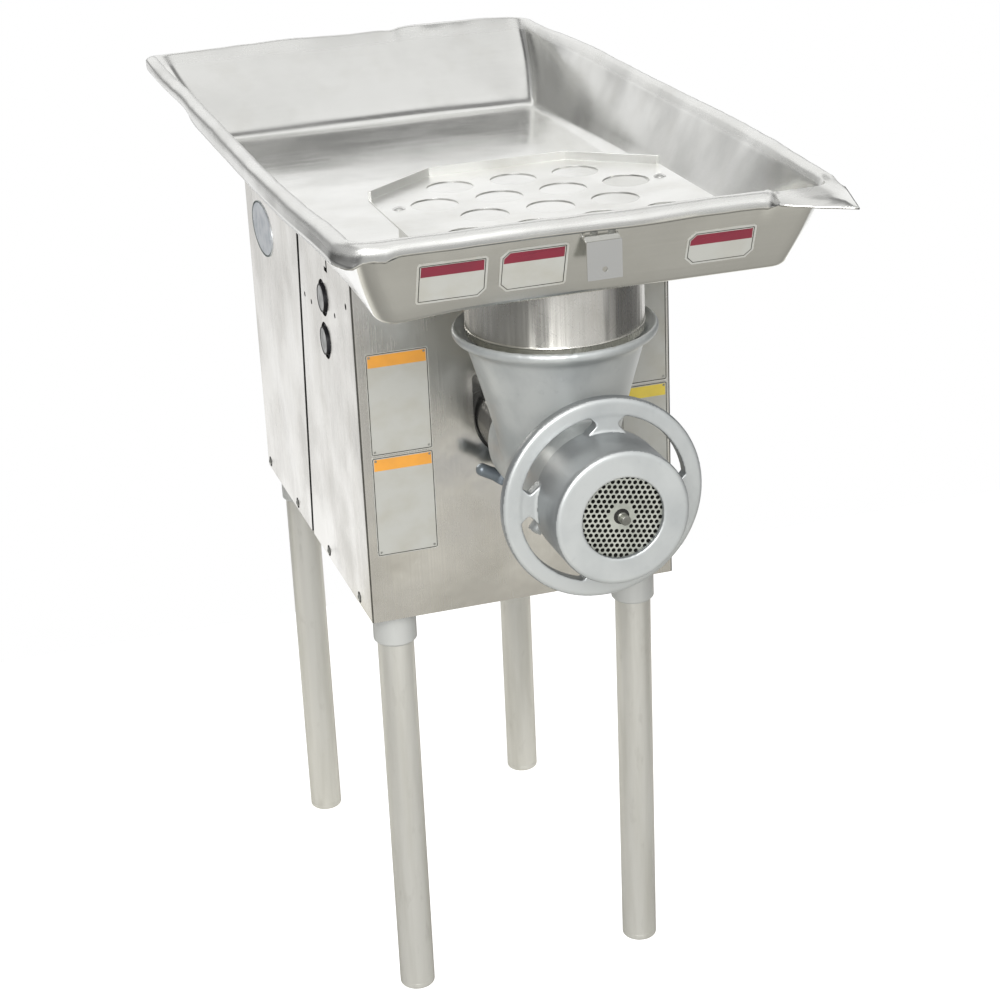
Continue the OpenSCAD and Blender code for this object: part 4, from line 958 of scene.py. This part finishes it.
def make_pan():
    """The feed pan: one sheet pressed to a tray, its edge rolled outwards over itself."""
    low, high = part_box("feed_pan")
    neck_low, neck_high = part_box("feed_neck")
    neck = (neck_low + neck_high) / 2
    neck_r = (neck_high.x - neck_low.x) / 2 - NECK_STEP * MM
    floor_z, turn_z = low.z + SHEET * MM, high.z - RIM_R * MM
    rim = (high.x - RIM_R * MM, low.y + RIM_R * MM, high.y - RIM_R * MM, RIM_CORNER * MM)
    edge = (rim[0] - (SIDE_FLARE + SHEET) * MM, rim[1] + (FRONT_FLARE + SHEET) * MM,
            rim[2] - (REAR_FLARE + SHEET) * MM, FLOOR_CORNER * MM)
    inner = (edge[0] - FLOOR_INSET * MM, edge[1] + FLOOR_INSET * MM,
             edge[2] - FLOOR_INSET * MM, FLOOR_CORNER * MM)
    shape = bmesh.new()
    outline = Matrix.Translation((0, (inner[1] + inner[2]) / 2, floor_z))
    outline = outline @ Matrix.Diagonal((2 * inner[0], inner[2] - inner[1], 1, 1))
    bmesh.ops.create_grid(shape, x_segments=1, y_segments=1, size=0.5, matrix=outline)
    bmesh.ops.bevel(shape, geom=shape.verts[:], offset=inner[3], offset_type="OFFSET",
                    segments=8, profile=0.5, affect="VERTICES", material=-1)
    bmesh.ops.delete(shape, geom=shape.faces[:], context="FACES_ONLY")
    for axis, cuts in enumerate(CUTS):
        long = [e for e in shape.edges
                if abs(e.verts[0].co[axis] - e.verts[1].co[axis]) > 100 * MM]
        bmesh.ops.subdivide_edges(shape, edges=long, cuts=cuts)
    ring = shape.edges[:]
    first = ring[:]
    strips = {}
    for vert in shape.verts:
        spot = station(vert.co, inner)
        strips[vert] = strip(spot, vert.co.copy(), placed(spot, edge, floor_z),
                             placed(spot, rim, turn_z))
    for level in range(len(next(iter(strips.values())))):
        made = bmesh.ops.extrude_edge_only(shape, edges=ring)["geom"]
        ring = [e for e in made if isinstance(e, bmesh.types.BMEdge)]
        grown = [v for v in made if isinstance(v, bmesh.types.BMVert)]
        strips = {vert: strips[other] for vert in grown for edge in vert.link_edges
                  for other in [edge.other_vert(vert)] if other in strips}
        for vert in grown:
            vert.co = strips[vert][level]
    at = Matrix.Translation((neck.x, neck.y, floor_z))
    mouth = set(bmesh.ops.create_circle(shape, segments=64, radius=neck_r + NECK_EASE * MM,
                                        matrix=at)["verts"])
    hoop = [edge for edge in shape.edges if mouth.issuperset(edge.verts)]
    bmesh.ops.triangle_fill(shape, use_beauty=True, edges=first + hoop)
    for out, down in NECK_LIP:
        made = bmesh.ops.extrude_edge_only(shape, edges=hoop)["geom"]
        hoop = [e for e in made if isinstance(e, bmesh.types.BMEdge)]
        for vert in made:
            if isinstance(vert, bmesh.types.BMVert):
                way = Vector((vert.co.x - neck.x, vert.co.y - neck.y)).normalized()
                vert.co = (neck.x + way.x * (neck_r + out * MM),
                           neck.y + way.y * (neck_r + out * MM), floor_z - down * MM)
    bmesh.ops.recalc_face_normals(shape, faces=shape.faces)
    widest = max(shape.faces, key=lambda f: f.calc_area())
    if widest.normal.z < 0:
        bmesh.ops.reverse_faces(shape, faces=shape.faces)
    knock_pan(shape)
    pan = make_piece("dented_pan", shape, "feed_pan", angle=50)
    wall = pan.modifiers.new("sheet", "SOLIDIFY")
    wall.thickness = SHEET * MM
    wall.offset = -1


def make_guard():
    """The neck, the guard over it with its brackets and rivets, and the latch's bracket."""
    for node, name, finish, width in (("feed_neck", "streaked_neck", NECK, 0.5),
                                      ("guard_rivets", "bright_rivets", RIVET, 0.4)):
        round_edges(make_piece(name, refinished(welded(node)), node, [finish]), width)
    round_edges(make_piece("folded_guard", welded("guard_plate"), "guard_plate", angle=12), 0.5)
    edged("guard_brackets", 0.4)
    edged("latch_bracket", 0.4)


# --- Stage and light ---

# The floor's ends and half width in metres, and how far the eye sees it lit
FLOOR_FRONT = -1.76
FLOOR_BACK = 0.95
FLOOR_HALF = 1.3
EYE_GLOW = 0.8
# What the metal mirrors of the floor: place along y, level
FLOOR_SEEN = ((-1.7, 0.95), (-1.4, 0.75), (-1.0, 0.42), (-0.3, 0.35), (0.5, 0.9))


def mirrored_in(tree):
    """1 on the rays by which polished metal and clear material show what is round them."""
    glossy = add(tree, "LightPath", {}, "Is Glossy Ray")
    clear = add(tree, "LightPath", {}, "Is Transmission Ray")
    return add(tree, "Math", {0: glossy, 1: clear}, operation="MAXIMUM")


def make_stage():
    """A sheet of paper on the floor, white to the eye and shaded where metal mirrors it."""
    shape = bmesh.new()
    place = Matrix.Translation((0, (FLOOR_FRONT + FLOOR_BACK) / 2, 0))
    size = Matrix.Diagonal((2 * FLOOR_HALF, FLOOR_BACK - FLOOR_FRONT, 1, 1))
    bmesh.ops.create_grid(shape, x_segments=1, y_segments=1, size=0.5, matrix=place @ size)
    mesh = bpy.data.meshes.new("floor")
    shape.to_mesh(mesh)
    shape.free()
    floor = bpy.data.objects.new("floor", mesh)
    bpy.context.scene.collection.objects.link(floor)
    made, tree, shader, place = new_material("white paper", Roughness=0.9)
    mirrored = mirrored_in(tree)
    coat(tree, shader, "f6f6f4", [(mirrored, 1, "000000")])
    glow = add(tree, "Mix", {0: mirrored, 6: linear("ffffff"), 7: linear("fbf8ee")}, 2,
               data_type="RGBA")
    tree.links.new(glow, shader.inputs["Emission Color"])
    eye = add(tree, "LightPath", {}, "Is Camera Ray")
    depth = add(tree, "SeparateXYZ", {"Vector": place}, "Y")
    seen = add(tree, "Math", {0: mirrored, 1: profile(tree, depth, FLOOR_SEEN)},
               operation="MULTIPLY")
    strength = add(tree, "Math", {0: eye, 1: EYE_GLOW, 2: seen}, operation="MULTIPLY_ADD")
    tree.links.new(strength, shader.inputs["Emission Strength"])
    mesh.materials.append(made)


def make_lamp(name, place, aim, size, power):
    """A square soft box: places and size in metres, power in watts."""
    data = bpy.data.lights.new(name, "AREA")
    data.size = size
    data.energy = power
    lamp = bpy.data.objects.new(name, data)
    lamp.location = place
    lamp.rotation_mode = "QUATERNION"
    lamp.rotation_quaternion = (Vector(aim) - Vector(place)).to_track_quat("-Z", "Y")
    bpy.context.scene.collection.objects.link(lamp)


# What the metal mirrors of the studio, from below to straight up: height of the look, level
BACK_WALL = ((-0.6, 1.45), (-0.2, 0.9), (-0.05, 0.3), (0.03, 0.3), (0.16, 1.1),
             (0.42, 1.08), (0.69, 1.05), (0.75, 0.25), (0.83, 0.25), (0.9, 0.98))
FRONT_ROOM = ((-0.7, 0.5), (-0.4, 0.5), (-0.1, 0.6), (0.05, 0.9), (0.8, 0.85), (1.0, 0.75))
DEPTH_SHARE = ((-0.3, 0), (0.3, 1))
LEFT_CURTAIN = ((-0.56, 0.3), (-0.36, 1))
RIGHT_CURTAIN = ((0.62, 1), (0.92, 0.15))
# Where plain light comes from, and its level by how squarely a look faces that way
SKY_WAY = (-0.3, -0.75, 0.59)
SKY = ((-0.3, 0.12), (1, 0.7))


def make_world():
    """A white backdrop to the eye. The metal mirrors a studio: the lit paper behind, a bright
    ceiling, a dim room in front and dark curtains at the sides. Plain light comes mostly from
    the upper left in front."""
    world = bpy.data.worlds.new("studio")
    world.use_nodes = True
    bpy.context.scene.world = world
    tree = world.node_tree
    background = tree.nodes["Background"]
    way = add(tree, "TexCoord", {}, "Generated")
    across, depth, height = (add(tree, "SeparateXYZ", {"Vector": way}, axis) for axis in "XYZ")
    studio = add(tree, "Mix", {0: profile(tree, depth, DEPTH_SHARE),
                               2: profile(tree, height, FRONT_ROOM),
                               3: profile(tree, height, BACK_WALL)}, data_type="FLOAT")
    for curtain in (LEFT_CURTAIN, RIGHT_CURTAIN):
        studio = add(tree, "Math", {0: studio, 1: profile(tree, across, curtain)},
                     operation="MULTIPLY")
    facing = add(tree, "VectorMath", {0: way, 1: SKY_WAY}, "Value", operation="DOT_PRODUCT")
    eye = add(tree, "LightPath", {}, "Is Camera Ray")
    plain = add(tree, "Math", {0: eye, 1: profile(tree, facing, SKY)}, operation="MAXIMUM")
    level = add(tree, "Mix", {0: mirrored_in(tree), 2: plain, 3: studio}, data_type="FLOAT")
    background.inputs["Color"].default_value = (1, 1, 1, 1)
    tree.links.new(level, background.inputs["Strength"])


# --- The whole ---

finish_cad_nodes()
set_camera()
make_housing()
make_screws()
make_button("start_button")
make_button("stop_button")
make_head()
make_plates()
make_oval()
make_pan()
make_guard()
make_stage()
make_world()
make_lamp("key", (-1.0, -2.7, 1.95), (0, 0, 0.7), 1.6, 80)
make_lamp("fill", (2.8, -1.2, 2.0), (0, 0, 0.6), 2.4, 6)
bpy.context.scene.view_settings.view_transform = "Standard"
